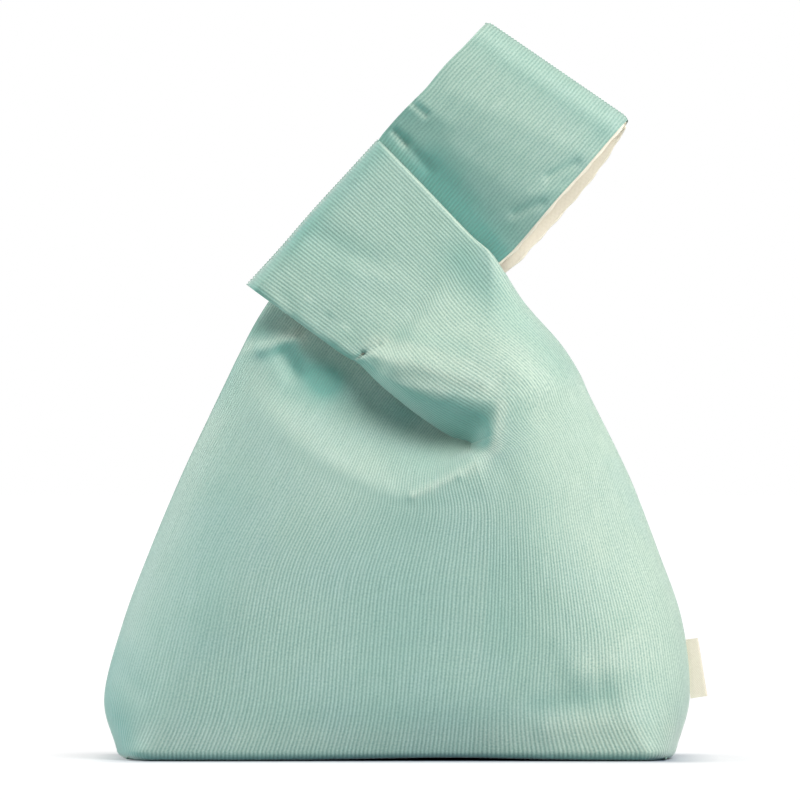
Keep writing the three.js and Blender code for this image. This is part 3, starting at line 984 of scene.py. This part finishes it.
    def _spread(
        self, surface: Surface, rows: Array, wales: Array, first: Array, last: Array, crowd: Array
    ) -> Array:
        """Share of each row at which wales lie along the cloth.

        The length along the cloth is summed over a fine line of points in each row, and each
        wale's share of the whole length is looked up in it. The share is less by the crowding
        times the share times what is left of it, so that wales lie closer at the left end.

        Args:
            surface: Points of the part.
            rows: Place among the net's rows.
            wales: The wales wanted.
            first: The wale at the left end of each row.
            last: The wale at the right end of each row.
            crowd: The crowding of each row, less than 0 for the right end.

        Returns:
            Shares of the row, rows by wales.
        """
        fine = 0.5 - 0.5 * np.cos(np.linspace(0.0, math.pi, self.fine))
        run = lengths(surface(rows, np.tile(fine, (len(rows), 1)), False))
        run /= run[:, -1:]
        lane = 2.0 * np.arange(len(rows))[:, None]
        wanted = np.clip((wales[None, :] - first[:, None]) / (last - first)[:, None], 0.0, 1.0)
        wanted -= crowd[:, None] * wanted * (1.0 - wanted)
        return np.interp(wanted + lane, (run + lane).ravel(), np.tile(fine, len(rows)))

    def outward(self, surface: Surface, rows: Array, part: Array) -> Array:
        """Unit normals of a part, facing away from the bag, from small steps along rows and columns.

        Args:
            surface: Points of the part.
            rows: Place among the net's rows.
            part: Shares of each row.

        Returns:
            The normals, rows by shares.
        """
        small = 2e-3
        row = np.minimum(rows, float(rows.max()) - small)
        share = np.clip(part, small, 1.0 - small)
        over = surface(row, share + small) - surface(row, share - small)
        along = surface(row + small, share) - surface(np.maximum(row - small, 0.0), share)
        return unit(np.cross(over, along)) * -self.side.value

    def _length(self, rows: Array) -> Array:
        """Length along the cloth from the hem, measured near the line that the two parts share."""
        return lengths(self.right_surface(rows, np.full((len(rows), 1), 0.02), False)[:, 0])

    def left_patch(self) -> Patch:
        """The left part with its share of the base.

        Returns:
            The grid, whose last column is the line that both parts share.
        """
        rows = np.linspace(0.0, len(LEFT_NET) - 1, (len(LEFT_NET) - 1) * self.body_lines + 1)
        wales = np.linspace(0.0, LEFT_WALES, LEFT_WALES * self.samples + 1)
        last = np.full(len(rows), float(LEFT_WALES))
        first, crowd = through(LEFT_START, rows), through(LEFT_CROWD, rows)
        part = self._spread(self.left_surface, rows, wales, first, last, crowd)
        length = self._length(rows[rows <= CREASE_ROW + 1e-9])
        beyond = length[-1] + (rows[len(length) :] - CREASE_ROW) * self.left_row
        length = np.concatenate([length, beyond])
        return self._with_base(self.left_surface, rows, part, wales - LEFT_WALES, length, LEFT_PAINTED_LIGHT)

    def right_patch(self) -> Patch:
        """The right part with its share of the base and the cloth turned in along its free edges.

        Returns:
            The grid, from the hem to the top fold.
        """
        body = np.linspace(0.0, CREASE_ROW, CREASE_ROW * self.body_lines + 1)
        over = np.linspace(CREASE_ROW, LAST_ROW, (LAST_ROW - CREASE_ROW) * self.handle_lines + 1)[1:]
        close = LAST_ROW - TOP_ROUND / TOP_ROW * (1.0 - np.sin(quarter_turn(9)))
        rows = np.concatenate([body, over[over < close[0] - 0.02], close])
        wales = np.linspace(0.0, max(RIGHT_WALES), max(RIGHT_WALES) * self.samples + 1)
        last, crowd = through(RIGHT_WALES, rows), -through(RIGHT_CROWD, rows)
        part = self._spread(self.right_surface, rows, wales, np.zeros(len(rows)), last, crowd)
        length = self._length(rows)
        patch = self._with_base(self.right_surface, rows, part, wales, length, RIGHT_PAINTED_LIGHT)
        return self._with_hems(patch, rows)

    def _hem(self, patch: Patch, edge: int, wide: Array, deep: Array) -> tuple[Array, Array]:
        """A strip of cloth turned in under an edge: in by one less the cosine, back by the sine.

        Args:
            patch: The cloth.
            edge: 0 for its left edge, -1 for its right one.
            wide: Share of the hem's width at each line.
            deep: Share of its depth at each line.

        Returns:
            The strip's points away from the edge, and their places on the cloth.
        """
        turn = quarter_turn(self.hem_lines + 1)[1:]
        sign = 1 if edge else -1
        start = patch.points[:, edge]
        inward = patch.points[:, edge - sign * self.hem_columns] - start
        inward = unit(inward * np.array([1.0, 0.0, 1.0]))
        width = (1.0 - np.cos(turn)) * self.hem_width * wide[:, None]
        points = start[:, None] + inward[:, None] * width[..., None]
        points[..., 1] -= self.side.value * (np.sin(turn) * self.hem_depth)[None, :] * deep[:, None]
        cloth = np.repeat(patch.cloth[:, edge][:, None], len(turn), axis=1)
        cloth[..., 0] += sign * np.arange(1, len(turn) + 1) * self.hem_wales
        return points, cloth

    def _with_hems(self, patch: Patch, rows: Array) -> Patch:
        """Adds the cloth turned in under both edges.

        Args:
            patch: The right part with its base.
            rows: Place among the net's rows of its lines above the base.

        Returns:
            The wider grid.
        """
        line = len(patch.points) - len(rows)
        lower = np.pad(smoothstep((rows - CREASE_ROW) / 0.8), (line, 0))
        upper = np.pad(np.clip(through(RIGHT_HEM, rows), 0.0, 1.0), (line, 0))
        top = np.pad(self._top(rows), (line, 0), constant_values=1.0)
        low, low_cloth = self._hem(patch, 0, lower, lower * top)
        high, high_cloth = self._hem(patch, -1, upper, upper * top)
        points = np.concatenate([low[:, ::-1], patch.points, high], axis=1)
        cloth = np.concatenate([low_cloth[:, ::-1], patch.cloth, high_cloth], axis=1)
        painted_light = np.pad(patch.painted_light, ((0, 0), (self.hem_lines, self.hem_lines)), mode="edge")
        return Patch(points, cloth, patch.outward, painted_light)

    def _with_base(
        self,
        surface: Surface,
        rows: Array,
        part: Array,
        wales: Array,
        length: Array,
        shading_strokes: Sequence[Fold],
    ) -> Patch:
        """Ribs a part, and adds its share of the base below its first row.

        The base runs from the seam under it out to a line drawn in from the hem by the base's
        rounding, and in a quarter circle from there up to the hem. The line is lifted a little in
        the middle, by a bell over the distance across.

        Args:
            surface: Points of the part.
            rows: Place among the net's rows.
            part: Shares of each row.
            wales: The wale at each column.
            length: The length along the cloth at each row.
            shading_strokes: Strokes of painted light and shade on the front.

        Returns:
            The whole grid.
        """
        points = surface(rows, part)
        outward = self.outward(surface, rows, part)
        height = (self.rib * crest(wales))[None, :, None]
        hem = points[0]
        aside = unit(outward[0] * np.array([1.0, 1.0, 0.0]))
        foot = hem - aside * self.base_round
        foot[:, 1] = self.side.value * np.maximum(self.side.value * foot[:, 1], 0.0)
        gap = (foot[:, 0] - across(self.arch_middle)) / self.arch_width
        foot[:, 2] = self.clearance + self.arch * np.exp(-(gap**2))
        down = np.array([0.0, 0.0, -1.0])
        share = np.linspace(0.0, 1.0, 5)[:-1, None, None]
        seam = foot * np.array([1.0, 0.0, 0.0]) - down * self.clearance
        flat = seam + (foot - seam) * share
        turn = quarter_turn(8)[:-1, None, None]
        level = np.array([1.0, 1.0, 0.0])
        rounded = foot + (hem - foot) * (level * np.sin(turn) - down * (1.0 - np.cos(turn)))
        facing = aside * np.sin(turn) + down * np.cos(turn)
        full = np.concatenate([flat + down * height, rounded + facing * height, points + outward * height])
        out = (share.ravel() - 1.0) * float(np.abs(foot[:, 1]).max()) - self.base_turn
        up = (turn.ravel() - math.pi / 2) * self.base_round
        cloth = together(wales[None, :], np.concatenate([out, up, length])[:, None])
        facing = np.concatenate([np.broadcast_to(down, flat.shape), facing, outward])
        front = self.side is Side.FRONT
        return Patch(full, cloth, front, painted_light_of(facing, shading_strokes if front else (), full))

    def build(self) -> bpy.types.Object:
        """Builds the panel as one piece of cloth.

        Returns:
            The piece.
        """
        word = self.side.name.lower()
        nodes = (f"outer_{word}_panel", f"short_handle_{word}")
        patches = [self.left_patch(), self.right_patch()]
        piece = make_piece(f"{word}_corduroy", patches, self.cloths.corduroy, nodes)
        return piece


# The strap's creases where it leaves the short handle and along both edges.
STRAP_FOLDS = fold_rows(
    (430, 80, 414, 99, 4.5, -1.3),
    (409, 101, 426, 115, 3.5, -1.3),
    (420, 106, 446, 124, 9, 0.7),
    (395, 132, 406, 143, 4, -1.5),
    (404, 142, 428, 168, 6, -0.9),
    (455, 95, 590, 160, 11, 0.45),
    (440, 128, 560, 190, 13, -0.4),
    (500, 60, 612, 126, 8, 0.15),
    (575, 164, 548, 177, 5, -1.1),
    (541, 204, 514, 214, 5, -1.0),
    (558, 190, 530, 196, 6, 0.5),
)

# Strokes of painted shade on the strap: where it leaves the short handle, below its top fold and by its
# edges.
STRAP_PAINTED_SHADE = fold_rows(
    (384, 137, 506, 264, 11, -0.38),
    (432, 168, 505, 256, 22, -0.40),
    (498, 34, 618, 120, 26, -0.36),
    (455, 30, 400, 110, 14, -0.10),
    (600, 135, 545, 205, 12, -0.10),
)

# Left and right edge of each layer of the strap, at lengths above the knot, in mm.
STRAP_KNOTS = np.array([-36, -20, -8, 2, 12, 24, 40, 56, 72, 84, 96])
STRAP_EDGES = {
    Side.FRONT: np.array([
        [-37, -38, -41, -44.0, -44.6, -44.4, -43.5, -44.2, -43.5, -43.2, -43.0],
        [34.5, 37.5, 43.0, 44.9, 45.2, 44.8, 44.4, 44.6, 44.2, 43.9, 43.5],
    ]),
    Side.BACK: np.array([
        [-37, -37.5, -38.5, -40, -41, -41, -40.5, -40.5, -41, -42, -43.0],
        [35, 41.5, 47.5, 50.2, 50.4, 50.6, 50.4, 49.8, 48.0, 45.6, 43.6],
    ]),
}


@dataclass
class LongHandle:
    """The loop: two layers of corduroy joined at the top fold, their lining and its rolled rim."""

    cloths: Cloths
    rib: float = 0.21 * MM
    wales: int = 50
    samples: int = 5  # columns of points to the wale
    lines: int = 90  # of points up to the top fold's rounding
    lining_lines: int = 80
    lining_columns: int = 61
    rim_lines: int = 120
    rim_short: int = 4  # lines that the rim stops short of the top fold
    foot: float = -35 * MM  # of the layers, inside the short handle
    top: float = 90 * MM  # of the fold over the knot
    top_round: float = 9 * MM
    corner_round: float = 4 * MM
    corner_drop: float = 1.6 * MM
    skew: float = 0.132  # rise of the top fold over its run
    run: float = 126 * MM  # of cloth from the foot to the top fold
    lining_inset: float = 1.0 * MM
    rim: float = 0.75 * MM  # radius of the lining's rolled edge
    rim_inset: float = 0.5 * MM  # of the surface that it follows
    rim_wave: float = 0.12 * MM
    rim_turn: float = 60.0  # radians of the wave along it
    rim_out: float = 0.35 * MM  # of its middle past the layer's edge
    rim_deep: float = 0.25 * MM  # of its middle towards the layer's outside
    bend: Pair = (2.0 * MM, 28.0 * MM)  # from the knot to where the fold's bend starts and ends
    flat: Pair = (0.090, 0.132)
    depths: tuple[Pair, ...] = (
        (-36, 3.8), (-14, 3.7), (0, 4.1), (9, 5.2), (18, 8.2), (27, 11.4), (38, 13.5), (50, 13.9), (63, 13.2),
        (78, 11.2), (86, 8.6), (90, 5),
    )  # from the knot, and half the loop's depth there, in mm

    def _depth(self, s: Array) -> Array:
        """Half depth of the loop a length above the knot."""
        knots, values = np.array(self.depths).T * MM
        return between(knots, values, s)

    def _edges(self, s: Array, side: Side) -> tuple[Array, Array]:
        """Left and right edge of a layer a length above the knot."""
        left, right = (between(STRAP_KNOTS * MM, edge * MM, s) for edge in STRAP_EDGES[side])
        return left, right

    def layer(self, side: Side, inset: float, columns: Array, lines: int) -> Array:
        """Points of one layer from its lower end to the top fold.

        The height's own rise grows with the place across. The last stretch to the fold is a
        quarter circle in depth, and its corners are a little rounded.

        Args:
            side: Front or back.
            inset: How far the layer lies inside the cloth.
            columns: Shares of the width, from the left edge.
            lines: Lines of points below the last stretch.

        Returns:
            The points, lines by columns.
        """
        turn = np.linspace(0.0, 1.0, lines)
        low = self.top - self.top_round
        close = low + np.sin(quarter_turn(10))[1:] * self.top_round
        ease = np.concatenate([turn, np.ones(len(close))])
        height = np.concatenate([self.foot + turn * (low - self.foot), close]) - inset * ease**4
        left, right = self._edges(height, side)
        wide = right - left
        q = left[:, None] + wide[:, None] * columns[None, :]
        share = np.clip(height / self.top, 0.0, 1.0)[:, None]
        edge = np.minimum(columns, 1.0 - columns) * wide.mean()
        corner = 1.0 - quarter(edge / self.corner_round)
        rise = q * self.skew * share - corner[None, :] * self.corner_drop * share**6
        cap = quarter((self.top - inset - height) / self.top_round)[:, None]
        deep = (self._depth(height) - inset)[:, None]
        at = knot_point(q, height[:, None] + rise, side.value * (deep * cap))
        sag = lifted(STRAP_FOLDS, at[..., 0], at[..., 2]) * (1.0 if side is Side.FRONT else 0.4)
        at[..., 1] += side.value * sag * cap
        return at

    def _rim(self, side: Side) -> Patch:
        """The lining's rolled edge, a thin tube along the right edge of a layer.

        A sine along it is added to its radius and to its place across.

        Args:
            side: Front or back.

        Returns:
            The grid.
        """
        edges = self.layer(side, self.rim_inset, np.array([0.0, 1.0]), self.rim_lines)
        path = edges[: -self.rim_short, 1]
        wave = np.sin(np.linspace(0.0, self.rim_turn, len(path))) * self.rim_wave
        path = path + knot_point(self.rim_out + wave, 0.0, 0.0) - knot_point(0.0, 0.0, 0.0)
        path[:, 1] += side.value * self.rim_deep
        return tube(path, self.rim + wave)

    def _corduroy(self, side: Side) -> Patch:
        """A layer's ribbed cloth: its points moved out along their normals by the wales' height.

        Args:
            side: Front or back.

        Returns:
            The grid.
        """
        wales = np.linspace(0.0, self.wales, self.wales * self.samples + 1)
        at = self.layer(side, 0.0, wales / self.wales, self.lines)
        normal = unit(np.cross(np.gradient(at, axis=1), np.gradient(at, axis=0))) * -side.value
        cloth = together(wales[None, :], np.linspace(0.0, self.run, len(at))[:, None])
        front = side is Side.FRONT
        painted_light = painted_light_of(normal, STRAP_PAINTED_SHADE if front else (), at)
        return Patch(at + normal * (self.rib * crest(wales))[None, :, None], cloth, front, painted_light)

    def _lining(self, side: Side) -> Patch:
        """A layer's lining, inside its corduroy.

        Args:
            side: Front or back.

        Returns:
            The grid.
        """
        columns = np.linspace(0.0, 1.0, self.lining_columns)
        inner = self.layer(side, self.lining_inset, columns, self.lining_lines)
        cloth = together(columns[None, :] * self.flat[0], np.linspace(0.0, self.run, len(inner))[:, None])
        return Patch(inner, cloth, side is Side.BACK)

    def build(self) -> None:
        """Builds both layers and their lining on no body. The bend's two points are found and not used."""
        start, end = (tuple(float(v) for v in knot_point(0.0, s, 0.0)) for s in self.bend)
        for side in Side:
            word = side.name.lower()
            lining = [self._lining(side), self._rim(side)]
            for name, patches, stuff, middle in (
                (f"{word}_corduroy", [self._corduroy(side)], self.cloths.corduroy, ""),
                (f"{word}_lining", lining, self.cloths.lining, "lining_"),
            ):
                nodes = (f"long_handle_{middle}{word}", f"handle_root_{middle}{word}")
                piece = make_piece(f"long_handle_{name}", patches, stuff, nodes, "")
                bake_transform(piece)


@dataclass
class Seams:
    """The sewn seams of the body, the base and the top folds."""

    cloths: Cloths
    panel: Panel
    side_points: int = 160  # along a side seam
    side_radius: float = 0.4 * MM
    base_radius: float = 0.5 * MM
    side_top: float = 10.6  # place among the rows at which the right seam ends
    base_half: float = 134 * MM
    base_lift: float = 0.6 * MM
    corners: tuple[tuple[str, float], ...] = (("left", 129.0), ("right", 664.0))  # in drawing steps
    corner_half: float = 30 * MM
    corner_lift: float = 1.0 * MM
    bead: float = 0.42  # mean radius of the top folds' stitches, in mm
    bead_wave: float = 0.22  # half of its swing, in mm

    def _seam(self, name: str, node: str, grid: Patch, body: str = "bag") -> None:
        """Makes one seam of thread."""
        make_piece(f"{name}_stitching", [grid], self.cloths.thread, [node], body)

    def _beads(self, wales: int) -> tuple[Array, Array]:
        """Shares of a top fold, and the stitch's radius there: a cosine wave to each wale."""
        place = np.linspace(0.0, wales, wales * 6 + 1)
        return place / wales, (self.bead + self.bead_wave * np.cos(2 * math.pi * place)) * MM

    def build(self) -> None:
        """Builds the seams of the sides, of the base and of both top folds."""
        rows = np.linspace(0.0, len(LEFT_NET) - 1, self.side_points)
        left = self.panel.left_surface(rows, np.zeros((len(rows), 1)))[:, 0]
        self._seam("left_side", "left_side_seam", tube(left, self.side_radius))
        rows = np.linspace(0.0, self.side_top, self.side_points)
        right = self.panel.right_surface(rows, np.ones((len(rows), 1)))[:, 0]
        self._seam("right_side", "right_side_seam", tube(right, self.side_radius))
        bottom = together(np.linspace(-self.base_half, self.base_half, 120), 0.0, self.base_lift)
        self._seam("bottom", "bottom_seam", tube(bottom, self.base_radius))
        y = np.linspace(-self.corner_half, self.corner_half, 60)
        for word, step in self.corners:
            corner = together(across(step), y, self.corner_lift)
            grid = tube(corner, self.base_radius, level=(0.0, 0.0, 1.0))
            self._seam(f"{word}_corner", f"{word}_corner_seam", grid)
        part, beads = self._beads(RIGHT_WALES[-1])
        top = self.panel.right_surface(np.array([float(LAST_ROW)]), part[None, :])[0]
        self._seam("short_handle_fold", "short_handle_top_seam", tube(top, beads))
        handle = LongHandle(self.cloths)
        part, beads = self._beads(handle.wales)
        top = handle.layer(Side.FRONT, 0.0, part, 20)[-1]
        self._seam("long_handle_fold", "long_handle_top_seam", tube(top, beads), "handle_loop")


@dataclass
class Neck:
    """The stretch of the long handle inside the short one."""

    cloths: Cloths
    half: float = 37.5 * MM
    ends: Pair = (-75 * MM, -41.6 * MM)  # along the long handle from the knot
    wale: float = 1.95 * MM
    depth: float = 3.8 * MM
    lining_depth: float = 1.3 * MM
    columns: int = 40
    lines: int = 24
    flat: Pair = (0.075, 0.034)

    def _layer(self, side: Side, stuff: Stuff, depth: float, name: str, node: str) -> None:
        """Makes a plain layer of the neck.

        Args:
            side: Front or back.
            stuff: What it is made of.
            depth: Its distance from the middle.
            name: The piece's name.
            node: The solid that it is shown for.
        """
        q = np.linspace(-self.half, self.half, self.columns)
        s = np.linspace(*self.ends, self.lines)
        at = knot_point(q[None, :], s[:, None], side.value * depth)
        grid = Patch(at, together(q[None, :] / self.wale, s[:, None]), side is Side.FRONT)
        piece = make_piece(name, [grid], stuff, [node], "neck")

    def build(self) -> None:
        """Builds the neck's layers, the corduroy's outside the lining's."""
        for stuff, depth, kind, middle in (
            (self.cloths.corduroy, self.depth, "corduroy", ""),
            (self.cloths.lining, self.lining_depth, "lining", "lining_"),
        ):
            for side in Side:
                word = side.name.lower()
                self._layer(side, stuff, depth, f"neck_{word}_{kind}", f"neck_{middle}{word}")


@dataclass
class BagLining:
    """The lining of the body and of the short handle, inside both panels."""

    cloths: Cloths
    gap: float = 2.4 * MM  # from the panel's surface to the body's lining
    handle_gap: float = 1.9 * MM
    first_row: float = 0.15
    left_part: Pair = (0.006, 1.0)  # share of the left part's rows that it covers
    right_part: Pair = (0.0, 0.994)
    handle_part: Pair = (0.03, 0.96)
    handle_rows: Pair = (8.0, 13.85)
    seam_half: float = 120 * MM
    seam_lift: float = 4 * MM
    flat: Pair = (0.300, 0.250)
    area: float = 0.052
    handle_flat: Pair = (0.105, 0.120)

    def _inside(self, panel: Panel, surface: Surface, rows: Array, part: Array, gap: float) -> Patch:
        """A grid inside a panel's surface: its points less their normals times the gap.

        Args:
            panel: The panel.
            surface: Points of one of its parts.
            rows: Place among the net's rows.
            part: Shares of every row.
            gap: How far inside.

        Returns:
            The grid.
        """
        part = np.tile(part, (len(rows), 1))
        grid = surface(rows, part) - panel.outward(surface, rows, part) * gap
        return Patch(grid, grid[..., [0, 2]], panel.side is Side.BACK)

    def _piece(self, name: str, patches: Sequence[Patch], node: str) -> bpy.types.Object:
        """One piece of lining on the bag."""
        return make_piece(name, patches, self.cloths.lining, [node])

    def build(self) -> None:
        """Builds the lining's two panels, the short handle's two linings and the lining's seam."""
        for side in Side:
            word = side.name.lower()
            panel = Panel(side, self.cloths)
            rows = np.linspace(self.first_row, len(LEFT_NET) - 1, 90)
            part = np.linspace(*self.left_part, 120)
            left = self._inside(panel, panel.left_surface, rows, part, self.gap)
            rows = np.linspace(self.first_row, CREASE_ROW, 70)
            part = np.linspace(*self.right_part, 80)
            right = self._inside(panel, panel.right_surface, rows, part, self.gap)
            body = self._piece(f"{word}_lining", [left, right], f"lining_{word}_panel")
            rows = np.linspace(*self.handle_rows, 90)
            part = np.linspace(*self.handle_part, 90)
            inner = self._inside(panel, panel.right_surface, rows, part, self.handle_gap)
            handle = self._piece(f"short_handle_{word}_lining", [inner], f"short_handle_lining_{word}")
        path = together(np.linspace(-self.seam_half, self.seam_half, 80), 0.0, self.seam_lift)
        self._piece("lining_stitching", [tube(path, 0.5 * MM)], "lining_seam")


@dataclass
class Label:
    """The bare folded tape in the right side seam."""

    cloths: Cloths
    corners: tuple[Steps, ...] = ((690.4, 698.5), (707.5, 696), (698, 638), (685.8, 639.5))
    thickness: float = 0.9 * MM  # of the folded tape
    pinch: float = 0.25 * MM  # thickness at the seam
    pinch_part: float = 3  # one part in this of the width is drawn down to the pinch
    fold_part: float = 9  # one part in this of it is rounded at the fold
    cloth: Pair = (0.01, 0.03)  # of its cloth to each side of the fold, and along it
    flat: Pair = (0.0305, 0.0165)

    def build(self) -> bpy.types.Object:
        """Builds the tape: out along its front, round its fold and back along its rear.

        The depth follows a quarter circle away from the fold, and eases down to the pinch at the
        seam.

        Returns:
            The piece.
        """
        low_in, low_out, top_out, top_in = (np.array([across(c[0]), above(c[1])]) for c in self.corners)
        turn = np.linspace(-1.0, 1.0, 41)
        full = smoothstep((1.0 - np.abs(turn)) * self.pinch_part)
        thick = self.pinch + (self.thickness - self.pinch) * full
        y = np.sign(turn) * 0.5 * thick * quarter(np.abs(turn) * self.fold_part)
        up = np.linspace(0.0, 1.0, 40)[:, None]
        inner = low_in + (top_in - low_in) * up
        outer = low_out + (top_out - low_out) * up
        flat = inner[:, None] + (outer - inner)[:, None] * (1.0 - np.abs(turn))[None, :, None]
        grid = together(flat[..., 0], y, flat[..., 1])
        cloth = together(turn[None, :] * self.cloth[0], up * self.cloth[1])
        piece = make_piece("side_tape", [Patch(grid, cloth)], self.cloths.tape, ["side_label"], "label")
        return piece


@dataclass(frozen=True)
class Lamp:
    """A square soft lamp."""

    name: str
    place: Point
    size: float
    watts: float
    colour: Colour


@dataclass
class Studio:
    """Floor, air, lamps and camera."""

    distance: float = 4.4
    lens: float = 386.1
    sensor: float = 36.0
    middle: float = 400.0  # drawing step at the middle of the picture, both ways
    air_front: float = 0.04
    air_behind: float = 0.25
    aim: Point = (0.0, 0.0, 0.18)
    base_half: Pair = (0.128, 0.036)  # half width and half depth of the base, for the painted contact shadow along it
    rings: tuple[float, ...] = (0.0, 0.4, 0.8, 1.6, 4.0, 12.0)  # radii of the floor's rings
    white: Colour = (1.0, 1.0, 1.0)
    floor_lit: Colour = (0.80, 0.83, 0.86)
    # Colour of the painted contact shadow along the base.
    painted_shadow_tone: Colour = (0.22, 0.27, 0.34)
    air_tint: Colour = (0.94, 0.98, 1.0)
    near: Pair = (0.004, 0.055)  # m past the base to where the floor's white starts, and to most of it
    far: Pair = (0.35, 0.20)  # the same from the middle, to all of it
    painted_shadow: Pair = (0.003, 0.030)  # the same past the base, to where the painted contact shadow ends
    lamps: tuple[Lamp, ...] = (
        Lamp("right_lamp", (1.16, -1.08, 1.51), 1.1, 50.0, (1.0, 0.98, 0.95)),
        Lamp("left_lamp", (-1.85, 0.15, 0.80), 0.9, 32.0, (1.0, 0.99, 0.96)),
        Lamp("top_lamp", (0.3, -0.80, 2.0), 0.8, 4.0, (0.96, 0.98, 1.0)),
    )

    def _seen(self, s: Shader) -> Value:
        """Whether a ray comes from the camera, or by way of gloss or glass.

        Args:
            s: The shader that the nodes are added to.

        Returns:
            1 if it does, and 0 if not.
        """
        outputs = s.add("LightPath").outputs
        names = ("Is Camera Ray", "Is Glossy Ray", "Is Transmission Ray")
        camera, gloss, glass = (Value(s, outputs[name]) for name in names)
        return (camera + gloss + glass).held()

    def _floor(self) -> None:
        """A white floor that keeps the bag's shadow, with a painted contact shadow along the base, and
        glows a plain white away from it.

        The gap is the distance to the base's rectangle: the root of the sum of the squares of the
        distances past its sides. Where the gap is nothing the floor shows the painted contact shadow,
        which fades out as the gap grows; the share of white grows with it, and again with the
        distance from the middle.
        """
        turn = np.linspace(0.0, 2 * math.pi, 65)
        reach = np.array(self.rings)[:, None]
        grid = together(reach * np.sin(turn), reach * np.cos(turn), 0.0)
        floor = make_mesh("studio_floor", [Patch(grid, grid[..., :2], False)])
        s = Shader(bpy.data.materials.new("studio_white"))
        place = s.place()
        away = s.value("VectorMath", {"operation": "LENGTH"}, [place], "Value")
        lit = s.plain("BsdfDiffuse", self.floor_lit)
        # The painted contact shadow along the base: a darker floor colour.
        painted_shadow = s.plain("BsdfDiffuse", self.painted_shadow_tone)
        white = s.plain("Emission", self.white, Strength=1.05)
        x, y, _ = s.parts(place)
        aside, ahead = ((abs(v) - half).most(0.0) for v, half in zip((x, y), self.base_half))
        gap = (aside**2.0 + ahead**2.0) ** 0.5
        near = gap.ramp(*self.near) ** 0.7
        share = self._seen(s) * (near * 0.86 + 0.06 + away.ramp(*self.far) * 0.08)
        beyond = gap.ramp(*self.painted_shadow) ** 0.5
        floor.data.materials.append(s.finish(s.either(beyond, painted_shadow, s.either(share, lit, white))))

    def _air(self) -> None:
        """Light from all round, weak from the front and strong from the white behind, seen as white."""
        s = Shader(bpy.data.worlds.new("studio_air"))
        _, y, _ = s.parts(s.add("TexCoord").outputs["Generated"])
        behind = ((y + 0.3) / 0.8).held()
        strength = behind * (self.air_behind - self.air_front) + self.air_front
        soft = s.plain("Background", self.air_tint, Strength=strength)
        white = s.plain("Background", self.white, Strength=1.0)
        bpy.context.scene.world = s.finish(s.either(self._seen(s), soft, white))

    def _lamp(self, lamp: Lamp) -> None:
        """Hangs a lamp so that it faces the bag.

        Args:
            lamp: The lamp.
        """
        light = bpy.data.lights.new(lamp.name, "AREA")
        light.shape = "SQUARE"
        light.size = lamp.size
        light.energy = lamp.watts
        light.color = lamp.colour
        holder = bpy.data.objects.new(lamp.name, light)
        bpy.context.scene.collection.objects.link(holder)
        holder.location = lamp.place
        x, y, z = np.array(self.aim) - np.array(lamp.place)
        holder.rotation_euler = (math.atan2(math.hypot(x, y), -z), 0.0, math.atan2(y, x) - math.pi / 2)

    def _camera(self) -> None:
        """Sets the camera level in front of the bag's middle."""
        camera = bpy.data.cameras.new("camera")
        camera.lens = self.lens
        camera.sensor_width = self.sensor
        camera.clip_start = 0.05
        camera.clip_end = 50.0
        holder = bpy.data.objects.new("camera", camera)
        bpy.context.scene.collection.objects.link(holder)
        holder.location = (float(across(self.middle)), -self.distance, float(above(self.middle)))
        holder.rotation_euler = (math.pi / 2, 0.0, 0.0)
        bpy.context.scene.camera = holder

    def build(self) -> None:
        """Builds the studio."""
        self._floor()
        self._air()
        for lamp in self.lamps:
            self._lamp(lamp)
        self._camera()
        bpy.context.scene.view_settings.view_transform = "Standard"


def main() -> None:
    """Builds the bag in order."""
    logging.basicConfig(level=logging.INFO, format="%(message)s")
    cloths = Cloths()
    for side in Side:
        Panel(side, cloths).build()
    Seams(cloths, Panel(Side.FRONT, cloths)).build()
    BagLining(cloths).build()
    Neck(cloths).build()
    LongHandle(cloths).build()
    Label(cloths).build()
    Studio().build()


if __name__ == "__main__":
    main()
